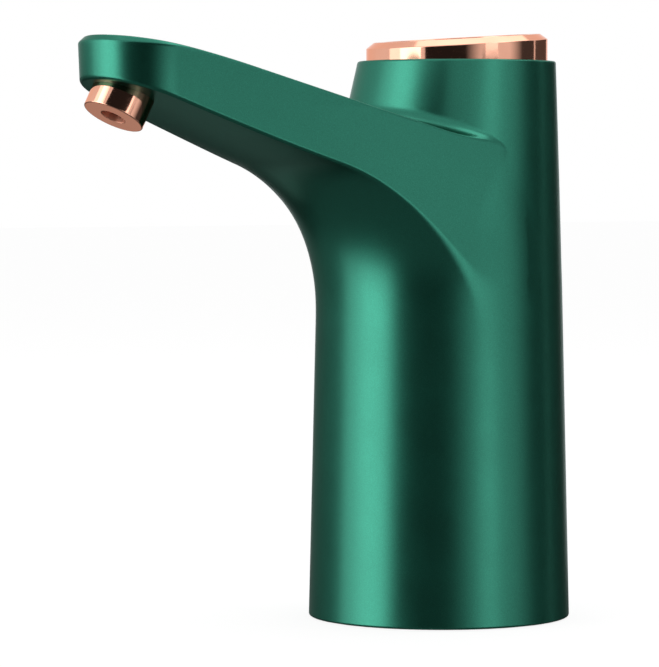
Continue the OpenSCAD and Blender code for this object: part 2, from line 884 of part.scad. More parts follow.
module pump_body() {
  color("#d9d7cf")
    difference() {
      union() {
        translate([0, 0, chamber_z])
          linear_extrude(height = motor_z - chamber_z)
            pump_outline(pump_r);
        // outlet, out to the front and up into its barb
        translate([drive_x - pump_r + 2, 0, outlet_z])
          rotate([0, -90, 0])
            cylinder(h = drive_x - pump_r + 2 - outlet_x, r = 3.3);
        translate([outlet_x, 0, outlet_z - 4])
          cylinder(h = 8, r = 3.8);
        translate([outlet_x, 0, outlet_z])
          cylinder(h = 4 + barb_l, d = hose_bore);
      }
      // gear chamber with its two port pockets
      for (s = [-1, 1])
        translate([drive_x, s * drive_y, chamber_z - 1])
          cylinder(h = chamber_h + 1, r = chamber_r);
      for (s = [-1, 1])
        translate([drive_x + s * port_dx, 0, chamber_z - 1])
          cylinder(h = chamber_h + 1, r = port_r);
      translate([drive_x - port_dx, 0, outlet_z])
        rotate([0, -90, 0])
          cylinder(h = drive_x - port_dx - outlet_x, d = bore_d - 0.6);
      translate([outlet_x, 0, outlet_z - 2.4])
        cylinder(h = 40, d = bore_d);
      // shaft, seal, pin and screws
      at_motor(chamber_z)
        cylinder(h = 30, r = shaft_r + 0.5);
      at_motor(motor_z - 2.5)
        cylinder(h = 5, r = 3.5);
      translate([drive_x, -drive_y, chamber_z])
        cylinder(h = chamber_h + 2.5, r = pin_r);
      for (s = [-1, 1]) {
        translate([drive_x + s * screw_dx, drive_y, chamber_z - 1])
          cylinder(h = 30, r = screw_r, $fn = 32);
        translate([drive_x, s * screw_dy, chamber_z - 1])
          cylinder(h = 10, r = screw_r, $fn = 32);
      }
    }
}

module pump_cover() {
  color("#c9cbc6")
    difference() {
      union() {
        translate([0, 0, cover_z])
          linear_extrude(height = cover_t)
            pump_outline(pump_r);
        translate([drive_x + port_dx, 0, cover_z - 6])
          cylinder(h = 7, d = hose_bore);
      }
      translate([drive_x + port_dx, 0, cover_z - 10])
        cylinder(h = 20, d = bore_d);
      translate([drive_x, -drive_y, chamber_z - 2])
        cylinder(h = 5, r = pin_r);
      for (s = [-1, 1]) {
        translate([drive_x + s * screw_dx, drive_y, cover_z - 1])
          cylinder(h = 10, r = screw_r, $fn = 32);
        translate([drive_x, s * screw_dy, cover_z - 1])
          cylinder(h = 10, r = screw_r, $fn = 32);
      }
    }
}

module screw(x, y, len) {
  translate([x, y, cover_z - 1.6])
    cylinder(h = 1.6, r = 1.9, $fn = 32);
  translate([x, y, cover_z - 0.5])
    cylinder(h = len + 0.5, r = screw_r, $fn = 32);
}

module pump_screws() {
  color("#9a9da0")
    for (s = [-1, 1])
      screw(drive_x + s * screw_dx, drive_y, motor_z + 1.5 - cover_z);
}

module cover_screws() {
  color("#9a9da0")
    for (s = [-1, 1])
      screw(drive_x, s * screw_dy, cover_t + 8);
}

// Gear outline with involute flanks
module gear_shape(turn) {
  rp = gear_module * gear_teeth / 2;
  rb = rp * cos(25);
  ra = rp + 0.8 * gear_module;
  rr = rp - 1.05 * gear_module;
  function roll(r) = r > rb ? sqrt(r * r / (rb * rb) - 1) * 180 / PI - acos(rb / r) : 0;
  half = 90 / gear_teeth - 0.9 + roll(rp);
  rs = [rr, rb, rb + 0.25 * (ra - rb), rb + 0.5 * (ra - rb), rb + 0.75 * (ra - rb), ra];
  pts = [for (i = [0:gear_teeth - 1], s = [-1, 1], k = [0:5])
    let (j = s < 0 ? k : 5 - k, a = turn + 360 * i / gear_teeth + s * (half - roll(rs[j])))
    rs[j] * [cos(a), sin(a)]];
  polygon(pts);
}

module pump_gear(y, turn, hole) {
  translate([drive_x, y, chamber_z + slide_gap])
    difference() {
      linear_extrude(height = gear_w)
        gear_shape(turn);
      translate([0, 0, -1])
        cylinder(h = gear_w + 2, r = hole);
    }
}

module drive_gear() {
  color("#e2ddd0")
    pump_gear(drive_y, -90, shaft_r);
}

module driven_gear() {
  color("#e2ddd0")
    pump_gear(-drive_y, 90 + 180 / gear_teeth, pin_r + shaft_gap);
}

module idler_pin() {
  color("#c4c7ca")
    translate([drive_x, -drive_y, chamber_z - 2])
      cylinder(h = chamber_h + 4.5, r = pin_r);
}

module shaft_seal() {
  color("#2a2c2e")
    difference() {
      at_motor(motor_z - 2.5)
        cylinder(h = 2.5, r = 3.5);
      at_motor(motor_z - 5)
        cylinder(h = 10, r = shaft_r + shaft_gap);
    }
}

module inlet_hose() {
  color("#cfd6d2")
    difference() {
      translate([0, 0, deck_z])
        cylinder(h = cover_z - deck_z, d = hose_d);
      translate([0, 0, deck_z - 1])
        cylinder(h = 30, d = hose_bore);
    }
}

housing();
spout_lid();
nozzle();
outlet_elbow();
delivery_hose();
bezel();
push_button();
button_carrier();
button_spring();
switch_body();
switch_plunger();
control_board();
board_screws();
inner_frame();
neck_adapter();
neck_gasket();
base_screws();
battery_cell();
battery_cap();
charge_board();
charge_socket();
battery_wires();
motor_wires();
motor_can();
motor_end_cap();
motor_magnets();
motor_bushes();
motor_terminals();
motor_shaft();
armature();
pump_body();
pump_cover();
pump_screws();
cover_screws();
drive_gear();
driven_gear();
idler_pin();
shaft_seal();
inlet_hose();
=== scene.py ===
# %% [markdown]
# # Electric water jug pump
# A battery pump that stands on the neck of a water bottle. A lacquered, moulded housing flows
# from a tapered body into a flat spout arm and a neck that leans back. A plated ring and key
# close the top, and a plated nose hangs under the spout's tip.
# The imported CAD model is loaded first. It is the fixed frame: every new piece is made in its
# metres, in its place.

# %% Load the imported model
import json
import math

import bpy
import numpy as np
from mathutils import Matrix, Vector

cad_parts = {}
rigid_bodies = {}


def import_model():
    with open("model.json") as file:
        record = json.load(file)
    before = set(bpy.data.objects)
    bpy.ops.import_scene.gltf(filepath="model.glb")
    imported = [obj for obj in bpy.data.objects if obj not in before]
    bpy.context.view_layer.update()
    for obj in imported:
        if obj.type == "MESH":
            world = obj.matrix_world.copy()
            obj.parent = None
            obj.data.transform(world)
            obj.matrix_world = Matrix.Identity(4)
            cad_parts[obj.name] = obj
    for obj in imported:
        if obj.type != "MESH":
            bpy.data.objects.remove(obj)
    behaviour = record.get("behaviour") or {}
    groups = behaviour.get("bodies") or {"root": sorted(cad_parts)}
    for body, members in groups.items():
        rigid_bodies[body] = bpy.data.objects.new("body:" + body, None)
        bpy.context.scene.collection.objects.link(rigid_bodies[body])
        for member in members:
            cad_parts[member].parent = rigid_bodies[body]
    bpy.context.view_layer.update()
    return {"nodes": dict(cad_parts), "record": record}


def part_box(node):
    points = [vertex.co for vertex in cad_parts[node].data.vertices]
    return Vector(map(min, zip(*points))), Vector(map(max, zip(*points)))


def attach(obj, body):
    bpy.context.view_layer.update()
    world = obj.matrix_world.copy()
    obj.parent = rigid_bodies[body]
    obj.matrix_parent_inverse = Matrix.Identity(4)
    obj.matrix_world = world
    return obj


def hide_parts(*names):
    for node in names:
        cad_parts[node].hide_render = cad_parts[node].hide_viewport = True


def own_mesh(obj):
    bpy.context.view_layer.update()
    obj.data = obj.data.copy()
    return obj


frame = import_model()
scene = bpy.context.scene
MM = 0.001

# %% [markdown]
# ## The camera
# The picture was taken with a long lens, level with the top of the spout arm, from the side of
# the spout. The numbers were found by laying the solids' outline over the picture: the scale at
# the body's axis in pixels for one millimetre, and the pixel where that axis passes the height
# of the lens. The camera is turned to put that point in place, so it needs no shift.

# %% Camera
PICTURE_W, PICTURE_H = 659, 667
SIDE_TURN = math.radians(39.476)
AWAY, LENS_Z = 960.5 * MM, 114.93 * MM
SCALE_PX, AXIS_PX, LEVEL_PX = 3.8355, 439.2, 174.6
FOCAL_PX = SCALE_PX / MM * AWAY
SENSOR = 36

towards_lens = Vector((-math.sin(SIDE_TURN), -math.cos(SIDE_TURN), 0))
rightward = Vector((math.cos(SIDE_TURN), -math.sin(SIDE_TURN), 0))
aim = (-towards_lens + rightward * ((PICTURE_W / 2 - AXIS_PX) / FOCAL_PX)
       + Vector((0, 0, (LEVEL_PX - PICTURE_H / 2) / FOCAL_PX)))
bpy.ops.object.select_all(action="DESELECT")
bpy.ops.object.camera_add(location=towards_lens * AWAY + Vector((0, 0, LENS_Z)),
                          rotation=aim.to_track_quat("-Z", "Y").to_euler())
camera = bpy.context.object
camera.data.sensor_width = SENSOR
camera.data.lens = FOCAL_PX * SENSOR / PICTURE_H
scene.camera = camera
scene.view_settings.view_transform = "Standard"
print("lens in mm", round(camera.data.lens, 1))

# %% [markdown]
# ## Floor and light
# The picture is a white studio shot. The white comes from the world and the floor as the
# camera, metal and clear pieces see them, so no extra light falls on the object. The floor is
# left out of reflections, because the metal in the picture shows the studio and not the floor.
# Satin metal is drawn by what it mirrors. On the left a tall lamp and a brighter strip beside it
# make the bright band with its soft flank, and a narrow strip on the right lifts the green there.
# Boxes above and behind light the top. Dark cards make the dark bands: the card round the lens
# and the one on the right pale towards one end, so that their bands end softly. Two small cards
# shade the nose and the arm's side. All cards are seen by reflections only and throw no shadow.

# %% Helpers for nodes
def link(tree, out, into):
    tree.links.new(out, into)


def larger(tree, a, b):
    most = tree.nodes.new("ShaderNodeMath")
    most.operation = "MAXIMUM"
    link(tree, a, most.inputs[0])
    link(tree, b, most.inputs[1])
    return most.outputs[0]


def carried(tree, value, given, wanted):
    """Carries a value from one range of numbers to another, and holds it at the ends."""
    span = tree.nodes.new("ShaderNodeMapRange")
    span.inputs["From Min"].default_value, span.inputs["From Max"].default_value = given
    span.inputs["To Min"].default_value, span.inputs["To Max"].default_value = wanted
    link(tree, value, span.inputs["Value"])
    return span.outputs[0]


def white_where_seen(tree):
    """1 for rays from the camera, from metal and through clear pieces, otherwise 0."""
    rays = tree.nodes.new("ShaderNodeLightPath").outputs
    seen = larger(tree, rays["Is Camera Ray"], rays["Is Glossy Ray"])
    return larger(tree, seen, rays["Is Transmission Ray"])


print("node helpers ready")

# %% White room
ROOM_LIGHT, ROOM_WHITE = 0.92, 1.0
world = bpy.data.worlds.new("white_room")
scene.world = world
world.use_nodes = True
tree = world.node_tree
room = tree.nodes["Background"]
room.inputs["Color"].default_value = (1, 1, 1, 1)
level = carried(tree, white_where_seen(tree), (0, 1), (ROOM_LIGHT, ROOM_WHITE))
link(tree, level, room.inputs["Strength"])
print("world", world.name)

# %% Floor
FLOOR_SIZE, FLOOR_Z, PAPER_GLOW = 12, -0.0002, 0.86
bpy.ops.mesh.primitive_plane_add(size=FLOOR_SIZE, location=(0, 0, FLOOR_Z))
floor = bpy.context.object
floor.name = "floor"
paper = bpy.data.materials.new("white_paper")
paper.use_nodes = True
tree = paper.node_tree
matt = tree.nodes["Principled BSDF"]
matt.inputs["Base Color"].default_value = (0.95, 0.95, 0.95, 1)
matt.inputs["Roughness"].default_value = 0.9
white = tree.nodes.new("ShaderNodeEmission")
cover = tree.nodes.new("ShaderNodeMixShader")
share = carried(tree, white_where_seen(tree), (0, 1), (0, PAPER_GLOW))
link(tree, share, cover.inputs["Fac"])
link(tree, matt.outputs[0], cover.inputs[1])
link(tree, white.outputs[0], cover.inputs[2])
link(tree, cover.outputs[0], tree.nodes["Material Output"].inputs["Surface"])
floor.data.materials.append(paper)
floor.visible_glossy = False
print("floor", floor.dimensions[:2])

# %% Lamps
MIDDLE = Vector((0, 0, 0.2))


def around(turn, away, height):
    """Point at an angle to the right of the lens, seen from the body's axis."""
    a = math.radians(turn)
    return (towards_lens * math.cos(a) + rightward * math.sin(a)) * away + Vector((0, 0, height))


def facing(place, target):
    return (target - place).to_track_quat("-Z", "Y").to_euler()


def soft_lamp(name, place, wide, tall, radiance):
    bpy.ops.object.light_add(type="AREA", location=place, rotation=facing(place, MIDDLE))
    lamp = bpy.context.object
    lamp.name = name
    lamp.data.shape = "RECTANGLE"
    lamp.data.size, lamp.data.size_y = wide, tall
    lamp.data.energy = radiance * math.pi * wide * tall
    lamp.visible_camera = False


soft_lamp("left_box", around(-70, 0.92, 0.2), wide=0.82, tall=1.5, radiance=1.1)
soft_lamp("left_strip", around(-61, 0.9, 0.2), wide=0.48, tall=1.5, radiance=1.4)
soft_lamp("right_strip", around(44.5, 0.9, 0.2), wide=0.26, tall=1.5, radiance=1.1)
soft_lamp("top_box", Vector((0.65, -0.42, 1.15)), wide=0.8, tall=0.8, radiance=2.0)
soft_lamp("back_box", around(176, 0.6, 1.35), wide=1.05, tall=1.0, radiance=1.2)

# %% Helpers for cards
def reflected_card(card, name, shade, fade=0.0):
    """Makes a plane a grey card that only reflections see.

    fade is the share of its width that pales to white at its +X end, or below zero at its -X end.
    """
    card.name = card.data.name = name
    felt = bpy.data.materials.new(name + "_felt")
    felt.use_nodes = True
    tree = felt.node_tree
    glow = tree.nodes.new("ShaderNodeEmission")
    glow.inputs["Strength"].default_value = shade
    if fade:
        along = tree.nodes.new("ShaderNodeSeparateXYZ")
        link(tree, tree.nodes.new("ShaderNodeTexCoord").outputs["Object"], along.inputs[0])
        end = math.copysign(0.5, fade)
        paling = carried(tree, along.outputs["X"], (end, end - fade), (1, shade))
        link(tree, paling, glow.inputs["Strength"])
    link(tree, glow.outputs[0], tree.nodes["Material Output"].inputs["Surface"])
    card.data.materials.append(felt)
    card.visible_camera = card.visible_diffuse = False
    card.visible_shadow = card.visible_transmission = False


def standing_card(name, turns, away, heights, shade, fade=0.0):
    """Upright card between two angles to the right of the lens and two heights."""
    half = math.radians(turns[1] - turns[0]) / 2
    place = around(sum(turns) / 2, away, sum(heights) / 2)
    bpy.ops.mesh.primitive_plane_add(size=1, location=place,
                                     rotation=facing(place, Vector((0, 0, place.z))))
    bpy.context.object.scale = (2 * away * math.tan(half), heights[1] - heights[0], 1)
    reflected_card(bpy.context.object, name, shade, fade)


def lying_card(name, radius, place, shade):
    bpy.ops.mesh.primitive_circle_add(vertices=64, radius=radius, fill_type="NGON", location=place)
    reflected_card(bpy.context.object, name, shade)


def flag_card(name, place, target, wide, tall, shade):
    bpy.ops.mesh.primitive_plane_add(size=1, location=place, rotation=facing(place, target))
    bpy.context.object.scale = (wide, tall, 1)
    reflected_card(bpy.context.object, name, shade)


print("card helpers ready")

# %% Cards
standing_card("lens_card", (-40.5, 33), 1.25, (-0.6, 0.55), shade=0.02, fade=0.32)
standing_card("left_card", (-165, -95), 0.9, (-1.0, 0.14), shade=0.28)
standing_card("right_card", (70, 114), 0.9, (-0.6, 1.3), shade=0.06, fade=-0.46)
standing_card("back_card", (117, 156), 0.9, (-0.6, 0.35), shade=0.10)
lying_card("near_ground_card", 0.62, Vector((0, 0, -0.15)), shade=0.18)
lying_card("far_ground_card", 0.7, around(180, 0.85, -0.14), shade=0.04)
lying_card("nose_card", 0.1, Vector((0.085, 0.41, -0.13)), shade=0.5)
flag_card("nose_flag_card", Vector((-0.127, -0.058, 0.17)), Vector((-0.1, 0, 0.13)),
          wide=0.11, tall=0.05, shade=0.02)
flag_card("arm_flag_card", Vector((0.012, -0.35, 0.133)), Vector((-0.113, -0.02, 0.133)),
          wide=0.13, tall=0.045, shade=0.05)

# %% [markdown]
# ## The housing's form
# The real housing is one moulding. Its body is a straight cone, its neck a second cone that
# leans back, and its arm a tapered tongue between a sloping top and a hollow underside that is
# turned round the body's axis. The neck meets the arm's top in a small hollow curve.
# Such a blend could be modelled face by face, but its edges would never flow as evenly as in a
# mould. So each surface is written as a distance from it, in millimetres and below zero inside,
# and the distances are joined: the larger one where two surfaces cut each other, the smaller
# where they are added, with a radius where an edge is round.

# %% Joining distances
DIAGONAL, FLAT_EDGE = 0.7071, 0.02


def rounded_cut(a, b, r):
    u, v = np.maximum(a + r, 0), np.maximum(b + r, 0)
    return np.minimum(np.maximum(a, b), -r) + np.sqrt(u * u + v * v)


def rounded_join(a, b, r):
    return -rounded_cut(-a, -b, r)


def soft_join(a, b, k):
    h = np.maximum(k - np.abs(a - b), 0) / k
    return np.minimum(a, b) - h * h * k / 4


def chamfered_cut(a, b, c, r):
    flat = (a + b + c) * DIAGONAL
    return rounded_cut(rounded_cut(a, flat, r), rounded_cut(b, flat, r), FLAT_EDGE)


print("an edge rounded by 1 mm lies", rounded_cut(0.0, 0.0, 1.0).round(2), "mm further in")

# %% Body and neck
BASE_R, WAIST_R, WAIST_Z, RIM_Z = 34.0, 31.8, 95.0, 144.4
BODY_TAPER = math.atan((BASE_R - WAIST_R) / WAIST_Z)
NECK_LEAN, NECK_TAPER, NECK_BACK = math.radians(6.9), math.radians(7.2), 0.28
NECK_AXIS = np.array([math.sin(NECK_LEAN), 0, math.cos(NECK_LEAN)])
NECK_R = WAIST_R * math.cos(BODY_TAPER) / math.cos(NECK_TAPER)


def body_cone(p):
    rho = np.hypot(p[:, 0], p[:, 1])
    return (rho - BASE_R + p[:, 2] * math.tan(BODY_TAPER)) * math.cos(BODY_TAPER)


def neck_cone(p):
    q = p - np.array([NECK_BACK, 0, WAIST_Z])
    t = q @ NECK_AXIS
    rho = np.linalg.norm(q - t[:, None] * NECK_AXIS, axis=1)
    return (rho - NECK_R + t * math.tan(NECK_TAPER)) * math.cos(NECK_TAPER)


def neck_edge(side, z):
    """Where the leaning neck's outline stands at a height, in front (-1) or behind (1)."""
    x0 = NECK_BACK + side * NECK_R * math.cos(NECK_LEAN)
    z0 = WAIST_Z - side * NECK_R * math.sin(NECK_LEAN)
    return x0 + (z - z0) * math.tan(NECK_LEAN - side * NECK_TAPER)


RIM_X = (neck_edge(1, RIM_Z) + neck_edge(-1, RIM_Z)) / 2
RIM_R = (neck_edge(1, RIM_Z) - neck_edge(-1, RIM_Z)) / 2
print("rim centre at x", round(RIM_X, 2), "rim radius", round(RIM_R, 2))

# %% Top and sides of the spout arm
REACH, TIP_R = 92.8, 16.8
TOP_Z, TOP_SLOPE, BEND_X, BEND = 121.0, 25.74 / REACH, 74.0, 0.0018
ROOT_Z, ROOT_SINK, ROOT_SOFT = WAIST_Z + 37, 0.12, 1.2
ROOT_R = math.sqrt(-neck_edge(1, ROOT_Z) * neck_edge(-1, ROOT_Z)) - 0.1
DRAFT = ([-70, -30], [0.04, 0])


def arm_top_z(x):
    return TOP_Z - TOP_SLOPE * x - BEND * np.minimum(x + BEND_X, 0) ** 2


def arm_top(p):
    lean = TOP_SLOPE + 2 * BEND * np.minimum(p[:, 0] + BEND_X, 0)
    return (p[:, 2] - arm_top_z(p[:, 0])) / np.sqrt(1 + lean ** 2)


def arm_sides(p):
    """Two straight sides between a large round at the root and a small one at the tip."""
    x, z = p[:, 0], p[:, 2]
    below = WAIST_R - ROOT_SINK - (z - WAIST_Z) * math.tan(BODY_TAPER)
    above = WAIST_R - ROOT_SINK + ((np.minimum(z, ROOT_Z) - WAIST_Z)
                                   * (ROOT_R - WAIST_R + ROOT_SINK) / (ROOT_Z - WAIST_Z))
    root_r = soft_join(below, above, ROOT_SOFT)
    sink = (root_r - TIP_R) / REACH
    rise = np.sqrt(1 - sink * sink)
    u, v = -x, np.abs(p[:, 1])
    along = rise * u - sink * v
    straight = rise * v + sink * u - root_r
    tip = np.hypot(v, u - REACH) - TIP_R
    draft = np.interp(x, *DRAFT) * (arm_top_z(x) - z)
    return draft + np.where(along < 0, np.hypot(u, v) - root_r,
                            np.where(along > rise * REACH, tip, straight))


print("tip stands at z", round(float(arm_top_z(-REACH)), 1))

# %% Underside of the spout arm
KNEE_Z, UNDER_SLOPE = 109.0, 23.05 / (REACH - WAIST_R)
FLARE_Z, FLARE_IN, FLARE_R = 77.0, WAIST_R + 0.2, 54.5


def under_z(rho):
    return KNEE_Z + UNDER_SLOPE * (rho - WAIST_R)


def arm_under(p):
    """A hollow flare that leaves the body and runs on as a straight slope."""
    rho, z = np.hypot(p[:, 0], p[:, 1]), p[:, 2]
    z1, z2 = under_z(FLARE_IN), under_z(FLARE_R)
    a, b = FLARE_Z - 2 * z1 + z2, 2 * (z1 - FLARE_Z)
    root = np.maximum(b * b - 4 * a * (FLARE_Z - np.clip(z, FLARE_Z, z2)), 0)
    t = (np.sqrt(root) - b) / (2 * a)
    beyond = np.maximum(z - z2, 0)
    edge = FLARE_IN + (FLARE_R - FLARE_IN) * t * t + beyond / UNDER_SLOPE
    curve = 2 * (FLARE_R - FLARE_IN) * t / np.maximum(2 * a * t + b, 1e-3)
    lean = np.where(z < FLARE_Z, 0, np.where(beyond > 0, 1 / UNDER_SLOPE, curve))
    return (rho - edge) / np.sqrt(1 + lean ** 2)


print("flare from z", FLARE_Z, "to z", round(under_z(FLARE_R), 1))

# %% The whole form
# radii and softness that change along the way: where, and how much there
WAIST_SOFT = ([5, 25], [2.0, 0.6])
HOLLOW_CURVE = ([-26, 3], [6.5, 1.4])
TOP_CHAMFER = ([-106, -92], [1.6, 0.35])
JOIN_BY_Z = ([78, 100], [0.3, 1.2])
JOIN_BY_DEPTH = ([-22, -2], [1.2, 0.01])
FOOT_EDGE, RIM_EDGE, UNDER_EDGE, TOP_EDGE = 0.6, 0.5, 0.8, 0.25
CURVE_END_Z, ROOT_X, ROOT_FALL = 138, 3, 0.12
LET_GO_Z, LET_GO = 93, 0.005


def below_waist(z):
    """Lets go of the neck's cone below the waist, where only the body's cone counts."""
    return LET_GO * np.maximum(LET_GO_Z - z, 0) ** 2


def housing_form(p):
    x, z = p[:, 0], p[:, 2]
    neck = neck_cone(p)
    body = -soft_join(-body_cone(p), below_waist(z) - neck, np.interp(x, *WAIST_SOFT))
    body = rounded_cut(rounded_cut(body, -z, FOOT_EDGE), z - RIM_Z, RIM_EDGE)
    deck = rounded_join(arm_top(p), np.maximum(neck, z - CURVE_END_Z),
                        np.interp(x, *HOLLOW_CURVE))
    arm = chamfered_cut(rounded_cut(arm_sides(p), arm_under(p), UNDER_EDGE), deck,
                        np.interp(x, *TOP_CHAMFER), TOP_EDGE)
    # behind the axis the arm's root sinks into the body, so that the two skins never run level
    arm = arm + ROOT_FALL * np.maximum(x - ROOT_X, 0)
    softness = np.minimum(np.interp(z, *JOIN_BY_Z), np.interp(arm_top(p), *JOIN_BY_DEPTH))
    return soft_join(body, arm, softness)


print("form at the axis", np.round(housing_form(np.array([[0.0, 0, 60], [0, 0, 200]])), 1))

# %% The hollow inside
WALL, LID_T, LID_BED, SEAT_Z, CEILING, BELOW = 2.4, 2.2, 0.3, RIM_Z - 5.8, 2, 3


def hollow_form(p):
    """The same form one wall further in, open below, with the trough open to the lid's pocket."""
    z = p[:, 2]
    body = np.maximum(body_cone(p), neck_cone(p) - below_waist(z)) + WALL
    body = np.maximum(body, z - SEAT_Z + CEILING)
    trough = np.maximum(arm_sides(p), arm_under(p)) + WALL
    trough = np.maximum(trough, arm_top(p) + LID_T - LID_BED)
    return np.maximum(np.minimum(body, trough), -z - BELOW)


print("hollow at the axis", np.round(hollow_form(np.array([[0.0, 0, 60], [0, 0, 200]])), 1))

# %% [markdown]
# ## From a rough lump to the moulded skin
# A cone and a tongue are roughed out with primitives, joined and remeshed to even little
# squares. Then every point slides down its own distance until it lies on the form, and the
# faces along the edges are divided and slid again, so that the round edges stay crisp.

# %% Helpers for modelling
def begin():
    if bpy.context.mode != "OBJECT":
        bpy.ops.object.mode_set(mode="OBJECT")
    bpy.ops.object.select_all(action="DESELECT")


def only(piece):
    begin()
    piece.select_set(True)
    bpy.context.view_layer.objects.active = piece


def pick_none(piece, kind):
    """Leaves nothing of a mesh selected, so that code can select its faces, edges or points."""
    only(piece)
    bpy.ops.object.mode_set(mode="EDIT")
    bpy.ops.mesh.select_mode(type=kind)
    bpy.ops.mesh.select_all(action="DESELECT")
    bpy.ops.object.mode_set(mode="OBJECT")


def settle_origin(piece):
    """Puts a piece's place into its mesh, so that the object sits at the origin."""
    only(piece)
    bpy.ops.object.transform_apply(location=True, rotation=True, scale=True)


def points(piece):
    co = np.empty(len(piece.data.vertices) * 3)
    piece.data.vertices.foreach_get("co", co)
    return co.reshape(-1, 3) / MM


def place_points(piece, p):
    piece.data.vertices.foreach_set("co", (p * MM).ravel())
    piece.data.update()


print("modelling helpers ready")

# %% Sliding points onto a form
LONGEST_SLIDE, LEAST_SLOPE = 2, 0.05


def slope(form, p, step=0.01):
    g = np.empty_like(p)
    for i in range(3):
        d = np.zeros(3)
        d[i] = step
        g[:, i] = (form(p + d) - form(p - d)) / (2 * step)
    return g


def slide_onto(piece, form, even=0, rounds=5):
    """Slides the points onto the form, in the first rounds also halfway to their neighbours."""
    p, n = points(piece), len(piece.data.vertices)
    ends = np.empty(len(piece.data.edges) * 2, int)
    piece.data.edges.foreach_get("vertices", ends)
    a, b = ends.reshape(-1, 2).T
    count = np.bincount(ends, minlength=n)[:, None]
    for i in range(even + rounds):
        if i < even:
            near = np.stack([np.bincount(a, p[b, k], n) + np.bincount(b, p[a, k], n)
                             for k in range(3)], 1)
            p = 0.5 * p + 0.5 * near / count
        g = slope(form, p)
        off = np.clip(form(p), -LONGEST_SLIDE, LONGEST_SLIDE)
        p = p - g * (off / np.maximum((g * g).sum(1), LEAST_SLOPE))[:, None]
    place_points(piece, p)
    return float(np.percentile(np.abs(form(p)), 99.9))


print("slope of the body at its foot", slope(body_cone, np.array([[BASE_R, 0.0, 0.0]])).round(3)[0])

# %% Rough lump
LUMP_R, LUMP_Z = 29, 143
TONGUE_Z, TONGUE_TALL = 138, 16
STUMP_R, STUMP_Z, STUMP_TALL = 28, 108, 24


def rough_lump(name, shrink, foot):
    begin()
    bpy.ops.mesh.primitive_cone_add(
        vertices=64, radius1=(BASE_R - shrink) * MM, radius2=(LUMP_R - shrink) * MM,
        depth=(LUMP_Z - foot) * MM, location=(0, 0, (LUMP_Z + foot) / 2 * MM))
    lump = bpy.context.object
    lump.name = lump.data.name = name
    bpy.ops.mesh.primitive_cylinder_add(
        vertices=48, radius=(TIP_R - shrink) * MM, depth=(TONGUE_TALL - shrink) * MM,
        location=(-REACH * MM, 0, TONGUE_Z * MM))
    tongue = bpy.context.object
    bpy.ops.object.mode_set(mode="EDIT")
    bpy.ops.mesh.primitive_cylinder_add(vertices=48, radius=(STUMP_R - shrink) * MM,
                                        depth=STUMP_TALL * MM, location=(0, 0, STUMP_Z * MM))
    bpy.ops.mesh.select_all(action="SELECT")
    bpy.ops.mesh.convex_hull()
    bpy.ops.object.mode_set(mode="OBJECT")
    only(lump)
    tongue.select_set(True)
    bpy.ops.object.join()
    settle_origin(lump)
    return lump


def remesh(piece, size):
    only(piece)
    piece.data.remesh_voxel_size = size * MM
    bpy.ops.object.voxel_remesh()


skin = rough_lump("housing_skin", shrink=0, foot=0)
for size, even in ((1.6, 12), (1.15, 8)):
    remesh(skin, size)
    left = slide_onto(skin, housing_form, even)
    print("squares of", size, "mm:", len(skin.data.polygons), "faces, off by", round(left, 4), "mm")

# %% Finer faces along the edges
EVERYWHERE = ((-200, 200), (0, 200))
CRESCENT = ((-36, 8), (110, 136))


def divide_bent_faces(piece, form, bend, within):
    """Divides the faces across which the form bends by more than an angle in degrees."""
    pick_none(piece, "FACE")
    g = slope(form, points(piece))
    g /= np.linalg.norm(g, axis=1)[:, None]
    limit = math.cos(math.radians(bend))
    (x_low, x_high), (z_low, z_high) = within
    bent = []
    for face in piece.data.polygons:
        n = g[list(face.vertices)]
        x, z = face.center.x / MM, face.center.z / MM
        inside = x_low < x < x_high and z_low < z < z_high
        bent.append(bool(inside and (n @ n.T).min() < limit))
    piece.data.polygons.foreach_set("select", bent)
    bpy.ops.object.mode_set(mode="EDIT")
    bpy.ops.mesh.subdivide(number_cuts=1)
    bpy.ops.object.mode_set(mode="OBJECT")
    return sum(bent)


for bend, within in ((9, EVERYWHERE), (9, EVERYWHERE), (12, CRESCENT)):
    divided = divide_bent_faces(skin, housing_form, bend, within)
    left = slide_onto(skin, housing_form)
    print("divided", divided, "faces, now", len(skin.data.polygons), "off by", round(left, 4), "mm")

# %% [markdown]
# ## Cutting the moulding open
# The housing is hollow. Its spout is an open trough with a shallow pocket round its top, and
# the lid drops into that pocket with a hairline seam. Both are cut from the one skin, so the
# lid's top runs on from the housing without a step. The cutting shapes are modelled as tools:
# a strip laid along the arm's top and raised, a drill for each hole, a slot for the socket.

# %% Cutting tools
def cut(piece, tool, how="DIFFERENCE"):
    only(piece)
    bpy.ops.object.modifier_add(type="BOOLEAN")
    step = piece.modifiers[-1]
    step.operation, step.object, step.solver = how, tool, "MANIFOLD"
    bpy.ops.object.modifier_apply(modifier=step.name)
    bpy.data.objects.remove(tool)


def drill(radius, length, place, tilt=0.0, sides=96):
    begin()
    bpy.ops.mesh.primitive_cylinder_add(vertices=sides, radius=radius * MM, depth=length * MM,
                                        location=Vector(place) * MM, rotation=(0, tilt, 0))
    settle_origin(bpy.context.object)
    return bpy.context.object


def block_tool(size, place, turn=0.0):
    """A box of a size in millimetres, turned round the z axis after it is in its place."""
    begin()
    bpy.ops.mesh.primitive_cube_add(size=1, location=place)
    tool = bpy.context.object
    tool.scale = Vector(size) * MM
    settle_origin(tool)
    tool.rotation_euler.z = math.radians(turn)
    settle_origin(tool)
    return tool


print("cutting tools ready")

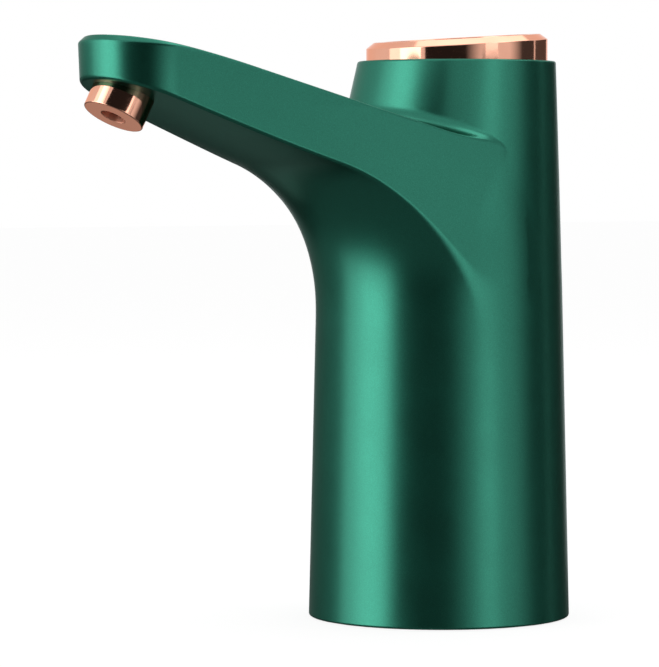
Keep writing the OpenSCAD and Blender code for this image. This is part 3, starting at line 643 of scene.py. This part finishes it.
# %% Tool for the lid
NECK_T = (TOP_Z - WAIST_Z) / (math.cos(NECK_LEAN) + TOP_SLOPE * math.sin(NECK_LEAN))
NECK_X = NECK_T * math.sin(NECK_LEAN)
CURVE_R, LID_BACK = 3.4, 2
LID_END_R = NECK_R - NECK_T * math.tan(NECK_TAPER) + CURVE_R + LID_BACK
ARM_STEPS, TIP_STEPS, SEAM_ROUNDS, RAISE = 40, 22, 60, 20


def lid_tool(inset, gap, drop):
    """Strip between the two seams, at the lid's underside, raised above the arm's top."""
    tip = REACH + TIP_R - inset
    turn = np.linspace(0, math.pi / 2, TIP_STEPS)
    x = -np.concatenate([np.linspace(0, REACH, ARM_STEPS)[:-1],
                         REACH + (tip - REACH) * np.sin(turn)[:-1], [tip - 1e-4]])
    y = np.full(len(x), 15.0)
    for _ in range(SEAM_ROUNDS):
        off = arm_sides(np.stack([x, y, arm_top_z(x)], 1)) + inset
        y = np.maximum(y - 0.7 * off, 0.02)
    begin()
    bpy.ops.mesh.primitive_grid_add(x_subdivisions=len(x) - 1, y_subdivisions=1, size=1)
    tool = bpy.context.object
    strip = points(tool) * MM
    column = np.rint((strip[:, 0] + 0.5) * (len(x) - 1)).astype(int)
    side = np.sign(strip[:, 1])
    place_points(tool, np.stack([x[column], side * y[column], arm_top_z(x[column]) - drop], 1))
    bpy.ops.object.mode_set(mode="EDIT")
    bpy.ops.mesh.select_all(action="SELECT")
    bpy.ops.mesh.extrude_region_move(TRANSFORM_OT_translate={"value": (0, 0, RAISE * MM)})
    bpy.ops.mesh.select_all(action="SELECT")
    bpy.ops.mesh.normals_make_consistent(inside=False)
    bpy.ops.object.mode_set(mode="OBJECT")
    cut(tool, drill(LID_END_R + gap, 160, (NECK_X, 0, 130)))
    return tool


print("lid ends", round(LID_END_R, 2), "mm from the neck's axis")

# %% Lid and housing
only(skin)
bpy.ops.object.duplicate()
lid = bpy.context.object
lid.name = lid.data.name = "moulded_lid"
cut(lid, lid_tool(inset=1.65, gap=0.15, drop=LID_T), "INTERSECT")

housing = skin
housing.name = housing.data.name = "moulded_housing"
hollow = rough_lump("hollow", shrink=2.6, foot=-4)
for size in (2.6, 2.0):
    remesh(hollow, size)
    slide_onto(hollow, hollow_form, even=3, rounds=6)
cut(housing, hollow)
cut(housing, lid_tool(inset=1.5, gap=0.0, drop=LID_T + 0.05))
print("lid", len(lid.data.polygons), "faces, housing", len(housing.data.polygons), "faces")

# %% Seat for the ring and hole for the nose
BEZEL_R, SEAT_LEDGE, SEAT_GAP = 23.65, 2.2, 0.1
NOZZLE_TILT, NOZZLE_X, NOSE_HOLE_R = math.radians(28), -99.7, 5.1
NOZZLE_Z = under_z(-NOZZLE_X)
NOZZLE_AXIS = np.array([math.sin(NOZZLE_TILT), 0, math.cos(NOZZLE_TILT)])
cut(housing, drill(BEZEL_R - SEAT_LEDGE, 6, (RIM_X, 0, SEAT_Z - 1)))
cut(housing, drill(BEZEL_R + SEAT_GAP, 20, (RIM_X, 0, SEAT_Z + 10), sides=160))
hole = np.array([NOZZLE_X, 0, NOZZLE_Z]) + 2 * NOZZLE_AXIS
cut(housing, drill(NOSE_HOLE_R, 12, hole, NOZZLE_TILT))
print("nose leaves the arm at z", round(NOZZLE_Z, 2))

# %% Window for the charging socket
WINDOW_X, WINDOW_Z, WINDOW_R = 31.08, 108.8, 1.68
window_tool = block_tool((10, 9.2, 3.4), Vector((WINDOW_X, 0, WINDOW_Z)) * MM)
pick_none(window_tool, "EDGE")
ends = window_tool.data.vertices
for edge in window_tool.data.edges:
    a, b = (ends[i].co for i in edge.vertices)
    edge.select = abs(a.x - b.x) > 5 * MM
bpy.ops.object.mode_set(mode="EDIT")
bpy.ops.mesh.bevel(offset=WINDOW_R * MM, segments=10, affect="EDGES")
bpy.ops.object.mode_set(mode="OBJECT")
cut(housing, window_tool)
print("housing with its openings:", len(housing.data.polygons), "faces")

# %% Crumbs left by the cuts
def drop_crumbs(piece):
    """Keeps the one large shell that holds the point furthest forward."""
    pick_none(piece, "VERT")
    before = len(piece.data.vertices)
    piece.data.vertices[int(points(piece)[:, 0].argmin())].select = True
    bpy.ops.object.mode_set(mode="EDIT")
    bpy.ops.mesh.select_linked()
    bpy.ops.mesh.select_all(action="INVERT")
    bpy.ops.mesh.delete(type="VERT")
    bpy.ops.object.mode_set(mode="OBJECT")
    return before - len(piece.data.vertices)


print("crumbs dropped, in points:", drop_crumbs(housing), drop_crumbs(lid))
# the foot's points lie on the ground to a hair, and none may lie below it
foot = points(housing)
foot[:, 2] = np.maximum(foot[:, 2], 0)
place_points(housing, foot)

# %% [markdown]
# ## Light on the skin
# A satin lacquer shows every small flat. Smooth shading taken from the faces would wobble where
# large and small faces meet, so the outer faces take their directions from the form itself.

# %% Light on the skin
ON_SKIN, SAME_WAY = 0.03, 0.55


def shade_by_form(piece, form):
    """Outer faces take their shading from the form itself, cut faces stay flat."""
    mesh = piece.data
    p = points(piece)
    g = slope(form, p)
    g /= np.maximum(np.linalg.norm(g, axis=1), 1e-9)[:, None]
    corner = np.empty(len(mesh.loops), int)
    mesh.loops.foreach_get("vertex_index", corner)
    flat = np.empty(len(mesh.polygons) * 3)
    mesh.polygons.foreach_get("normal", flat)
    size = np.empty(len(mesh.polygons), int)
    mesh.polygons.foreach_get("loop_total", size)
    flat = np.repeat(flat.reshape(-1, 3), size, axis=0)
    outer = (np.abs(form(p)) < ON_SKIN)[corner] & ((g[corner] * flat).sum(1) > SAME_WAY)
    mesh.polygons.foreach_set("use_smooth", np.ones(len(mesh.polygons), bool))
    mesh.normals_split_custom_set(np.where(outer[:, None], g[corner], flat).tolist())
    return outer.mean()


for piece, node in ((housing, "housing"), (lid, "spout_lid")):
    share = shade_by_form(piece, housing_form)
    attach(piece, "case")
    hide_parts(node)
    print(piece.name, "outer corners", round(float(share), 2))

# %% [markdown]
# ## Turned pieces
# The nose, the ring and the key are turned shapes, plated to a mirror. Each could be a cylinder
# with bevelled edges, but a drawn outline keeps every radius in hand: a single point is
# extruded along the outline, corner by corner, and the outline is spun round the axis.

# %% Drawing an outline
def eased(outline, steps=5):
    """Outline of (radius, height, corner radius) with its corners rounded."""
    pts = []
    n = len(outline)
    for i, (r, z, ease) in enumerate(outline):
        here = np.array([r, z])
        if ease == 0 or i in (0, n - 1):
            pts.append(here)
            continue
        back, on = np.array(outline[i - 1][:2]) - here, np.array(outline[i + 1][:2]) - here
        back, on = back / np.linalg.norm(back), on / np.linalg.norm(on)
        half = math.acos(np.clip(back @ on, -1, 1)) / 2
        middle = (back + on) / np.linalg.norm(back + on)
        centre = here + middle * ease / math.sin(half)
        first = here + back * ease / math.tan(half) - centre
        last = here + on * ease / math.tan(half) - centre
        span = math.pi - 2 * half
        for k in range(steps + 1):
            w = k / steps
            arc = first * math.sin((1 - w) * span) + last * math.sin(w * span)
            pts.append(centre + arc / math.sin(span))
    return pts


print("corner test", len(eased([(1, 0, 0), (2, 0, 0.3), (2, 1, 0)])), "points")

# %% Spinning an outline
SAME_POINT, PLATED_EDGE, MATT_EDGE = 0.002 * MM, math.radians(32), math.radians(40)


def face_outwards():
    bpy.ops.mesh.select_all(action="SELECT")
    bpy.ops.mesh.normals_make_consistent(inside=False)
    bpy.ops.object.mode_set(mode="OBJECT")


def spun(name, outline, turns):
    pts = eased(outline)
    begin()
    bpy.ops.mesh.primitive_plane_add(size=MM, location=(0, 0, 0))
    piece = bpy.context.object
    piece.name = piece.data.name = name
    bpy.ops.object.mode_set(mode="EDIT")
    bpy.ops.mesh.select_mode(type="VERT")
    bpy.ops.mesh.select_all(action="SELECT")
    bpy.ops.mesh.merge(type="CENTER")
    bpy.ops.transform.translate(value=(pts[0][0] * MM, 0, pts[0][1] * MM))
    for a, b in zip(pts, pts[1:]):
        bpy.ops.mesh.extrude_region_move(
            TRANSFORM_OT_translate={"value": ((b[0] - a[0]) * MM, 0, (b[1] - a[1]) * MM)})
    bpy.ops.mesh.select_all(action="SELECT")
    bpy.ops.mesh.spin(steps=turns, angle=2 * math.pi, center=(0, 0, 0), axis=(0, 0, 1))
    bpy.ops.mesh.select_all(action="SELECT")
    bpy.ops.mesh.remove_doubles(threshold=SAME_POINT)
    face_outwards()
    return piece


def smooth(piece, edge):
    only(piece)
    bpy.ops.object.shade_smooth_by_angle(angle=edge)


def plated_shading(piece):
    smooth(piece, PLATED_EDGE)
    bpy.ops.object.modifier_add(type="WEIGHTED_NORMAL")
    piece.modifiers[-1].keep_sharp = True
    bpy.ops.object.modifier_apply(modifier=piece.modifiers[-1].name)


print("ready to spin")

# %% [markdown]
# ## Nose
# The water leaves by a short plated tube that hangs under the tip, tilted outward. Its shoulder
# could be cut off by the arm, but the points of the shoulder are drawn along the tube's axis
# instead, until they lie just on the arm's curved underside.

# %% Nose under the tip
NOZZLE_R, NOZZLE_DROP, BORE_R, INLET_R = 7.7, 6.5, 3.15, 1.9
PLUG_R, PLUG_Z, SPIGOT_R, SPIGOT_Z, BORE_Z, SHOULDER_Z = 5.0, 3.3, 3.6, 5.5, 2.0, 0.5
nose = spun("plated_nose", [
    (INLET_R, SPIGOT_Z, 0), (INLET_R, BORE_Z, 0), (BORE_R, BORE_Z, 0.2),
    (BORE_R, -NOZZLE_DROP, 0.15), (NOZZLE_R, -NOZZLE_DROP, 0.3), (NOZZLE_R, SHOULDER_Z, 0),
    (PLUG_R, SHOULDER_Z, 0), (PLUG_R, PLUG_Z, 0.15), (SPIGOT_R, PLUG_Z, 0),
    (SPIGOT_R, SPIGOT_Z, 0.2), (INLET_R, SPIGOT_Z, 0)], turns=128)
shoulder = np.abs(points(nose)[:, 2] - SHOULDER_Z) < 0.01
nose.rotation_euler = (0, NOZZLE_TILT, 0)
nose.location = Vector((NOZZLE_X, 0, NOZZLE_Z)) * MM
settle_origin(nose)
p = points(nose)
for _ in range(8):
    p[shoulder] += (arm_under(p[shoulder]) - 0.02)[:, None] * NOZZLE_AXIS
place_points(nose, p)
plated_shading(nose)
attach(nose, "case")
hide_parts("nozzle")
print(nose.name, "faces", len(nose.data.polygons), "lowest z", round(points(nose)[:, 2].min(), 2))

# %% [markdown]
# ## Ring and key
# The ring sits in the neck's seat and holds the key, which slides in it with a narrow gap. The
# top of both is slanted with the neck. They are spun level and only what lies above the sides is
# then slanted, because the key has to slide straight down.

# %% Ring on the rim
SLANT, SLANT_FROM_Z = math.radians(4), 147
BEZEL_Z, SLANT_Z, LIP_Z = 141.0, 150.5, 145.6
KEY_R, KEY_GAP, LIP_OUT, CHAMFER, CHAMFER_Z = 18.5, 0.3, 1.3, 2, 1.5


def slant_top(piece):
    p = points(piece)
    top = p[:, 2] > SLANT_FROM_Z
    p[top, 2] += p[top, 0] * math.tan(SLANT)
    p[:, 0] += RIM_X
    place_points(piece, p)


ring = spun("plated_ring", [
    (KEY_R + LIP_OUT, BEZEL_Z, 0), (BEZEL_R, BEZEL_Z, 0.2), (BEZEL_R, SLANT_Z - CHAMFER_Z, 0.3),
    (BEZEL_R - CHAMFER, SLANT_Z, 0.35), (KEY_R + KEY_GAP, SLANT_Z, 0.25),
    (KEY_R + KEY_GAP, LIP_Z, 0), (KEY_R + LIP_OUT, LIP_Z, 0), (KEY_R + LIP_OUT, BEZEL_Z, 0)],
    turns=160)
slant_top(ring)
plated_shading(ring)
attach(ring, "case")
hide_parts("bezel")
print(ring.name, "faces", len(ring.data.polygons), "highest z", round(points(ring)[:, 2].max(), 2))

# %% Key in the ring
KEY_TOP, KEY_UNDER, FLANGE, FLANGE_T, STEM_R = SLANT_Z - 0.6, LIP_Z - 1.7, 1, 1.4, 3
STEM_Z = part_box("push_button")[0].z / MM
DISH_EDGE_R, DISH_R, DISH_Z = 13.9, 120, 119.2
dish = [(r, KEY_TOP + DISH_Z - math.sqrt(DISH_R ** 2 - r * r), 0) for r in (11, 8, 5, 2.5, 0)]
key = spun("plated_key", [
    (0, STEM_Z, 0), (STEM_R, STEM_Z, 0.3), (STEM_R, KEY_UNDER, 0), (KEY_R + FLANGE, KEY_UNDER, 0),
    (KEY_R + FLANGE, KEY_UNDER + FLANGE_T, 0), (KEY_R, KEY_UNDER + FLANGE_T, 0),
    (KEY_R, KEY_TOP, 0.5), (DISH_EDGE_R, KEY_TOP, 2.0)] + dish, turns=160)
slant_top(key)
plated_shading(key)
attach(key, "key")
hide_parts("push_button")
print(key.name, "faces", len(key.data.polygons), "stem ends at z", round(STEM_Z, 2))

# %% [markdown]
# ## Gasket
# Inside the socket a soft ring seals on the bottle's mouth. It is the one soft piece that can be
# seen, from below. It is spun with two raised sealing beads on its face.

# %% Gasket
SEAL_WIDE, BEAD_TALL, BEAD_HALF, BEADS_AT = 4.4, 0.35, 0.6, (1.1, 3.3)
low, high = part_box("neck_gasket")
g_low, g_high, g_out = low.z / MM, high.z / MM, high.x / MM
g_in, g_face = g_out - SEAL_WIDE, g_low + BEAD_TALL
face = [(g_in, g_high, 0), (g_in, g_face, 0.3)]
for at in BEADS_AT:
    bead = g_in + at
    face += [(bead - BEAD_HALF, g_face, 0.2), (bead, g_low, 0.3), (bead + BEAD_HALF, g_face, 0.2)]
face += [(g_out, g_face, 0.3), (g_out, g_high, 0.2), (g_in, g_high, 0)]
gasket = spun("sealing_ring", face, turns=128)
smooth(gasket, MATT_EDGE)
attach(gasket, "case")
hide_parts("neck_gasket")
print(gasket.name, "faces", len(gasket.data.polygons))

# %% [markdown]
# ## Return spring
# A wire spring under the key lifts it again. The solid in the CAD model is rigid, so the key
# would press into it. Here the wire's round section is swept up a screw line and closed at both
# ends.

# %% Return spring
KEY_TRAVEL, SPRING_TURNS, WIRE_R, CAD_WIRE_R, WIRE_SIDES = 1.0, 3, 0.3, 0.4, 12
low, high = (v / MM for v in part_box("button_spring"))
begin()
bpy.ops.mesh.primitive_circle_add(
    vertices=WIRE_SIDES, radius=WIRE_R * MM, rotation=(math.pi / 2, 0, 0),
    location=(((high.x - low.x) / 2 - CAD_WIRE_R) * MM, 0, 0))
spring = bpy.context.object
spring.name = spring.data.name = "return_spring"
settle_origin(spring)
bpy.ops.object.modifier_add(type="SCREW")
sweep = spring.modifiers[-1]
sweep.iterations, sweep.steps, sweep.render_steps = SPRING_TURNS, 40, 40
sweep.screw_offset = (high.z - low.z - 2 * WIRE_R) / SPRING_TURNS * MM
bpy.ops.object.modifier_apply(modifier=sweep.name)
bpy.ops.object.mode_set(mode="EDIT")
bpy.ops.mesh.select_all(action="SELECT")
bpy.ops.mesh.remove_doubles(threshold=SAME_POINT)
bpy.ops.mesh.fill_holes(sides=WIRE_SIDES)
face_outwards()
middle_x = (low.x + high.x) / 2
place_points(spring, points(spring) + np.array([middle_x, 0, low.z + WIRE_R]))
smooth(spring, MATT_EDGE)
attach(spring, "case")
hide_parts("button_spring")
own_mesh(spring)
print(spring.name, "faces", len(spring.data.polygons), "height", round(high.z - low.z, 2))

# %% [markdown]
# ## Armature
# Inside the motor's can turns a core with three poles, and a collar above it keeps it off the
# end cap. It is spun like the plated pieces, and three slots are cut between the poles. The
# collar gets a little end float, so that it never rubs on the cap.

# %% Armature
COLLAR_R, COLLAR_TALL, SHAFT_R, END_FLOAT = 3.0, 3.5, 1.0, 0.2
SLOT_IN, SLOT_LONG, SLOT_WIDE, SLOT_TALL = 3.6, 12, 2.2, 30
low, high = (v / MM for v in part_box("armature"))
core_r, core_top = (high.y - low.y) / 2, high.z - COLLAR_TALL
core = spun("poled_armature", [
    (SHAFT_R, low.z, 0), (core_r, low.z, 0.4), (core_r, core_top, 0.4), (COLLAR_R, core_top, 0),
    (COLLAR_R, high.z - END_FLOAT, 0.2), (SHAFT_R, high.z - END_FLOAT, 0),
    (SHAFT_R, low.z, 0)], turns=96)
slot_place = ((SLOT_IN + SLOT_LONG / 2) * MM, 0, (low.z + core_top) / 2 * MM)
for turn in (0, 120, 240):
    cut(core, block_tool((SLOT_LONG, SLOT_WIDE, SLOT_TALL), slot_place, turn))
place_points(core, points(core) + np.array([low.x + core_r, (low.y + high.y) / 2, 0]))
smooth(core, PLATED_EDGE)
rows = frame["record"]["subparts"]
core_slot = next(row["material_slot"] for row in rows if row["node"] == "armature")
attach(core, "rotor")
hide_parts("armature")
print(core.name, "faces", len(core.data.polygons), "radius", round(core_r, 2), core_slot)

# %% [markdown]
# ## Finishes
# Each finish is a node material on Object coordinates, so that its grain keeps its real size on
# every piece. The helpers add what the finishes share: a fine grain, and a value that wanders
# over the surface between two levels.

# %% Helpers for finishes
def new_finish(name, colour, metallic, roughness):
    finish = bpy.data.materials.new(name)
    finish.use_nodes = True
    tree = finish.node_tree
    shader = tree.nodes["Principled BSDF"]
    shader.inputs["Base Color"].default_value = (*colour, 1)
    shader.inputs["Metallic"].default_value = metallic
    shader.inputs["Roughness"].default_value = roughness
    where = tree.nodes.new("ShaderNodeTexCoord").outputs["Object"]
    return finish, tree, shader, where


def grain(tree, where, per_metre, detail=2.0):
    noise = tree.nodes.new("ShaderNodeTexNoise")
    noise.inputs["Scale"].default_value = per_metre
    noise.inputs["Detail"].default_value = detail
    link(tree, where, noise.inputs["Vector"])
    return noise.outputs["Fac"]


def roughened(tree, shader, fac, low, high):
    link(tree, carried(tree, fac, (0.3, 0.7), (low, high)), shader.inputs["Roughness"])


def coloured(tree, shader, fac, *stops):
    ramp = tree.nodes.new("ShaderNodeValToRGB")
    while len(ramp.color_ramp.elements) < len(stops):
        ramp.color_ramp.elements.new(0.5)
    for stop, (place, colour) in zip(ramp.color_ramp.elements, stops):
        stop.position, stop.color = place, (*colour, 1)
    link(tree, fac, ramp.inputs["Fac"])
    link(tree, ramp.outputs["Color"], shader.inputs["Base Color"])


def bumped(tree, shader, height, depth, strength):
    bump = tree.nodes.new("ShaderNodeBump")
    bump.inputs["Strength"].default_value = strength
    bump.inputs["Distance"].default_value = depth
    link(tree, height, bump.inputs["Height"])
    link(tree, bump.outputs[0], shader.inputs["Normal"])


print("finish helpers ready")

# %% [markdown]
# ### Green lacquer
# The housing is sprayed with a satin metallic lacquer: tiny metal flakes in green, under a thin
# clear coat. A plain green would look like bare plastic. So the shader is nearly all metal, a
# very fine noise makes the flakes in three greens, and a slow one varies the satin a little.

# %% Green lacquer
green, tree, shader, where = new_finish("satin_green_lacquer", (0.02, 0.15, 0.1), 0.97, 0.34)
flake = grain(tree, where, per_metre=5200, detail=1.0)
coloured(tree, shader, flake, (0.3, (0.013, 0.136, 0.090)), (0.52, (0.016, 0.158, 0.106)),
         (0.72, (0.022, 0.186, 0.126)))
roughened(tree, shader, grain(tree, where, per_metre=90, detail=3.0), 0.30, 0.34)
bumped(tree, shader, flake, depth=0.00002, strength=0.06)
shader.inputs["Coat Weight"].default_value = 0.3
shader.inputs["Coat Roughness"].default_value = 0.3
shader.inputs["Specular Tint"].default_value = (0.35, 0.45, 0.42, 1)
print(green.name)

# %% [markdown]
# ### Rose gold plating
# Ring, key and nose are plated and polished nearly to a mirror, with a faint haze. The key's
# face also keeps the rings of its turning, which a wave texture gives round the key's own axis.
# Inside the nose's bore the plating is dull, because polishing doesn't reach it.

# %% Rose gold plating
DULL_WITHIN, POLISHED_FROM = (BORE_R + 0.03) * MM, (BORE_R + 0.12) * MM
DULL_ROUGHNESS = 0.6


def turning_rings(tree, where, centre_x):
    centre = tree.nodes.new("ShaderNodeMapping")
    centre.inputs["Location"].default_value = (-centre_x * MM, 0, 0)
    link(tree, where, centre.inputs["Vector"])
    turning = tree.nodes.new("ShaderNodeTexWave")
    turning.wave_type, turning.rings_direction = "RINGS", "Z"
    turning.inputs["Scale"].default_value = 1300
    turning.inputs["Distortion"].default_value = 0.6
    link(tree, centre.outputs[0], turning.inputs["Vector"])
    return turning.outputs["Fac"]


def dull_bore(tree, shader, where, place):
    own = tree.nodes.new("ShaderNodeMapping")
    own.vector_type = "TEXTURE"
    own.inputs["Location"].default_value = place
    own.inputs["Rotation"].default_value = (0, NOZZLE_TILT, 0)
    link(tree, where, own.inputs["Vector"])
    flat = tree.nodes.new("ShaderNodeVectorMath")
    flat.operation = "MULTIPLY"
    flat.inputs[1].default_value = (1, 1, 0)
    link(tree, own.outputs[0], flat.inputs[0])
    radius = tree.nodes.new("ShaderNodeVectorMath")
    radius.operation = "LENGTH"
    link(tree, flat.outputs[0], radius.inputs[0])
    inside = carried(tree, radius.outputs["Value"], (DULL_WITHIN, POLISHED_FROM),
                     (DULL_ROUGHNESS, 0.0))
    polish = shader.inputs["Roughness"].links[0].from_socket
    link(tree, larger(tree, polish, inside), shader.inputs["Roughness"])


def plating(name, rings_at=None, bore_at=None):
    finish, tree, shader, where = new_finish(name, (0.81, 0.43, 0.31), 1.0, 0.1)
    shader.inputs["Specular Tint"].default_value = (1.0, 0.7, 0.6, 1)
    haze = grain(tree, where, per_metre=140, detail=4.0)
    coloured(tree, shader, haze, (0.3, (0.74, 0.37, 0.26)), (0.7, (0.79, 0.41, 0.29)))
    roughened(tree, shader, haze, 0.07, 0.11)
    if rings_at:
        bumped(tree, shader, turning_rings(tree, where, rings_at), depth=0.00001, strength=0.35)
    else:
        bumped(tree, shader, grain(tree, where, per_metre=900), depth=0.00001, strength=0.10)
    if bore_at:
        dull_bore(tree, shader, where, bore_at)
    return finish


rose_gold = plating("rose_gold_plating")
turned_gold = plating("turned_rose_gold", rings_at=RIM_X)
bored_gold = plating("bored_rose_gold", bore_at=(NOZZLE_X * MM, 0, NOZZLE_Z * MM))
print(rose_gold.name, turned_gold.name, bored_gold.name)

# %% [markdown]
# ### Plastics and rubber
# The inner pieces are moulded in plain plastics, the gasket in rubber, and the leads and the cell
# have thin covers. All have the fine texture of the mould and a slight cloud in their colour, so
# one function makes them, with the roughness and the size of the texture for each.

# %% Plastics and rubber
def moulded(name, dark, light, roughness, per_metre=700):
    finish, tree, shader, where = new_finish(name, light, 0.0, roughness)
    texture = grain(tree, where, per_metre, detail=3.0)
    cloud = grain(tree, where, per_metre=45, detail=3.0)
    coloured(tree, shader, cloud, (0.3, dark), (0.7, light))
    roughened(tree, shader, texture, roughness - 0.06, roughness + 0.06)
    bumped(tree, shader, texture, depth=0.00003, strength=0.18)
    return finish


finishes = {"body_green": green, "rose_gold": rose_gold}
for slot, name, dark, light, *feel in (
        ("pale_plastic", "pale_moulding", (0.66, 0.66, 0.62), (0.74, 0.74, 0.70), 0.42),
        ("black_plastic", "black_moulding", (0.020, 0.021, 0.022), (0.032, 0.033, 0.035), 0.46),
        ("red_plastic", "red_moulding", (0.42, 0.030, 0.022), (0.52, 0.045, 0.032), 0.38),
        ("grey_rubber", "grey_rubber_skin", (0.085, 0.09, 0.095), (0.125, 0.13, 0.135), 0.72, 1600),
        ("wire_red", "red_wire_cover", (0.45, 0.02, 0.02), (0.56, 0.035, 0.03), 0.40),
        ("wire_black", "black_wire_cover", (0.012, 0.012, 0.013), (0.022, 0.022, 0.024), 0.40),
        ("cell_wrap", "blue_cell_wrap", (0.05, 0.16, 0.36), (0.07, 0.21, 0.44), 0.28, 300)):
    finishes[slot] = moulded(name, dark, light, *feel)
print(len(finishes), "finishes so far")

# %% [markdown]
# ### Metals
# Screws, shaft and pins are drawn steel, the motor's iron is pressed and dark, and the bushes are
# sintered bronze. What sets them apart is the direction of their marks, so one noise is stretched
# along the axis for drawn metal, pressed together for iron and left even for bronze.

# %% Metals
def worked_metal(name, dark, light, roughness, stretch):
    finish, tree, shader, where = new_finish(name, light, 1.0, roughness)
    along = tree.nodes.new("ShaderNodeMapping")
    along.inputs["Scale"].default_value = stretch
    link(tree, where, along.inputs["Vector"])
    marks = grain(tree, along.outputs[0], per_metre=1800, detail=3.0)
    coloured(tree, shader, marks, (0.3, dark), (0.7, light))
    roughened(tree, shader, marks, roughness - 0.07, roughness + 0.07)
    bumped(tree, shader, marks, depth=0.00001, strength=0.15)
    return finish


for slot, name, dark, light, roughness, stretch in (
        ("bright_steel", "drawn_steel", (0.52, 0.53, 0.54), (0.64, 0.65, 0.66), 0.26, (1, 1, 0.08)),
        ("dark_iron", "dark_pressed_iron", (0.10, 0.10, 0.11), (0.16, 0.16, 0.17), 0.48, (1, 1, 4)),
        ("bronze", "sintered_bronze", (0.46, 0.28, 0.11), (0.58, 0.37, 0.16), 0.38, (1, 1, 1))):
    finishes[slot] = worked_metal(name, dark, light, roughness, stretch)
print(len(finishes), "finishes with the metals")

# %% [markdown]
# ### Circuit board and clear hose
# The boards carry a green lacquer over square-cornered tracks, which show as a slightly raised,
# lighter pattern. Cells measured along the two axes give such corners. The hoses are clear
# silicone, milky enough to hide what lies behind, so only part of the light passes.

# %% Circuit board
board, tree, shader, where = new_finish("board_lacquer", (0.01, 0.10, 0.04), 0.0, 0.3)
tracks = tree.nodes.new("ShaderNodeTexVoronoi")
tracks.distance, tracks.feature = "MANHATTAN", "F1"
tracks.inputs["Scale"].default_value = 420
link(tree, where, tracks.inputs["Vector"])
coloured(tree, shader, tracks.outputs["Distance"], (0.35, (0.008, 0.075, 0.028)),
         (0.45, (0.016, 0.135, 0.05)))
roughened(tree, shader, grain(tree, where, per_metre=200), 0.26, 0.36)
bumped(tree, shader, tracks.outputs["Distance"], depth=0.00002, strength=0.3)
finishes["board_green"] = board
print(board.name)

# %% Clear hose
clear, tree, shader, where = new_finish("clear_silicone_wall", (0.80, 0.84, 0.83), 0.0, 0.22)
coloured(tree, shader, grain(tree, where, per_metre=120, detail=3.0), (0.3, (0.74, 0.79, 0.78)),
         (0.7, (0.84, 0.87, 0.86)))
roughened(tree, shader, grain(tree, where, per_metre=500), 0.18, 0.28)
shader.inputs["Transmission Weight"].default_value = 0.45
shader.inputs["IOR"].default_value = 1.41
finishes["clear_silicone"] = clear
print(sorted(finishes))

# %% [markdown]
# ## Giving out the finishes
# The record says which CAD node belongs to which material slot. Every node gets that slot's
# finish, and so do the new pieces. Only the key and the nose take their own kinds of plating.

# %% Give out the finishes
def wear(piece, finish):
    piece.data.materials.clear()
    piece.data.materials.append(finish)


for row in rows:
    wear(frame["nodes"][row["node"]], finishes[row["material_slot"]])
for piece, finish in (
        (housing, green), (lid, green), (nose, bored_gold), (ring, rose_gold), (key, turned_gold),
        (gasket, finishes["grey_rubber"]), (spring, finishes["bright_steel"]),
        (core, finishes[core_slot])):
    wear(piece, finish)
print(len(rows), "nodes have their finish")

# %% [markdown]
# ## Ending in object mode

# %% End in object mode, with nothing selected
begin()
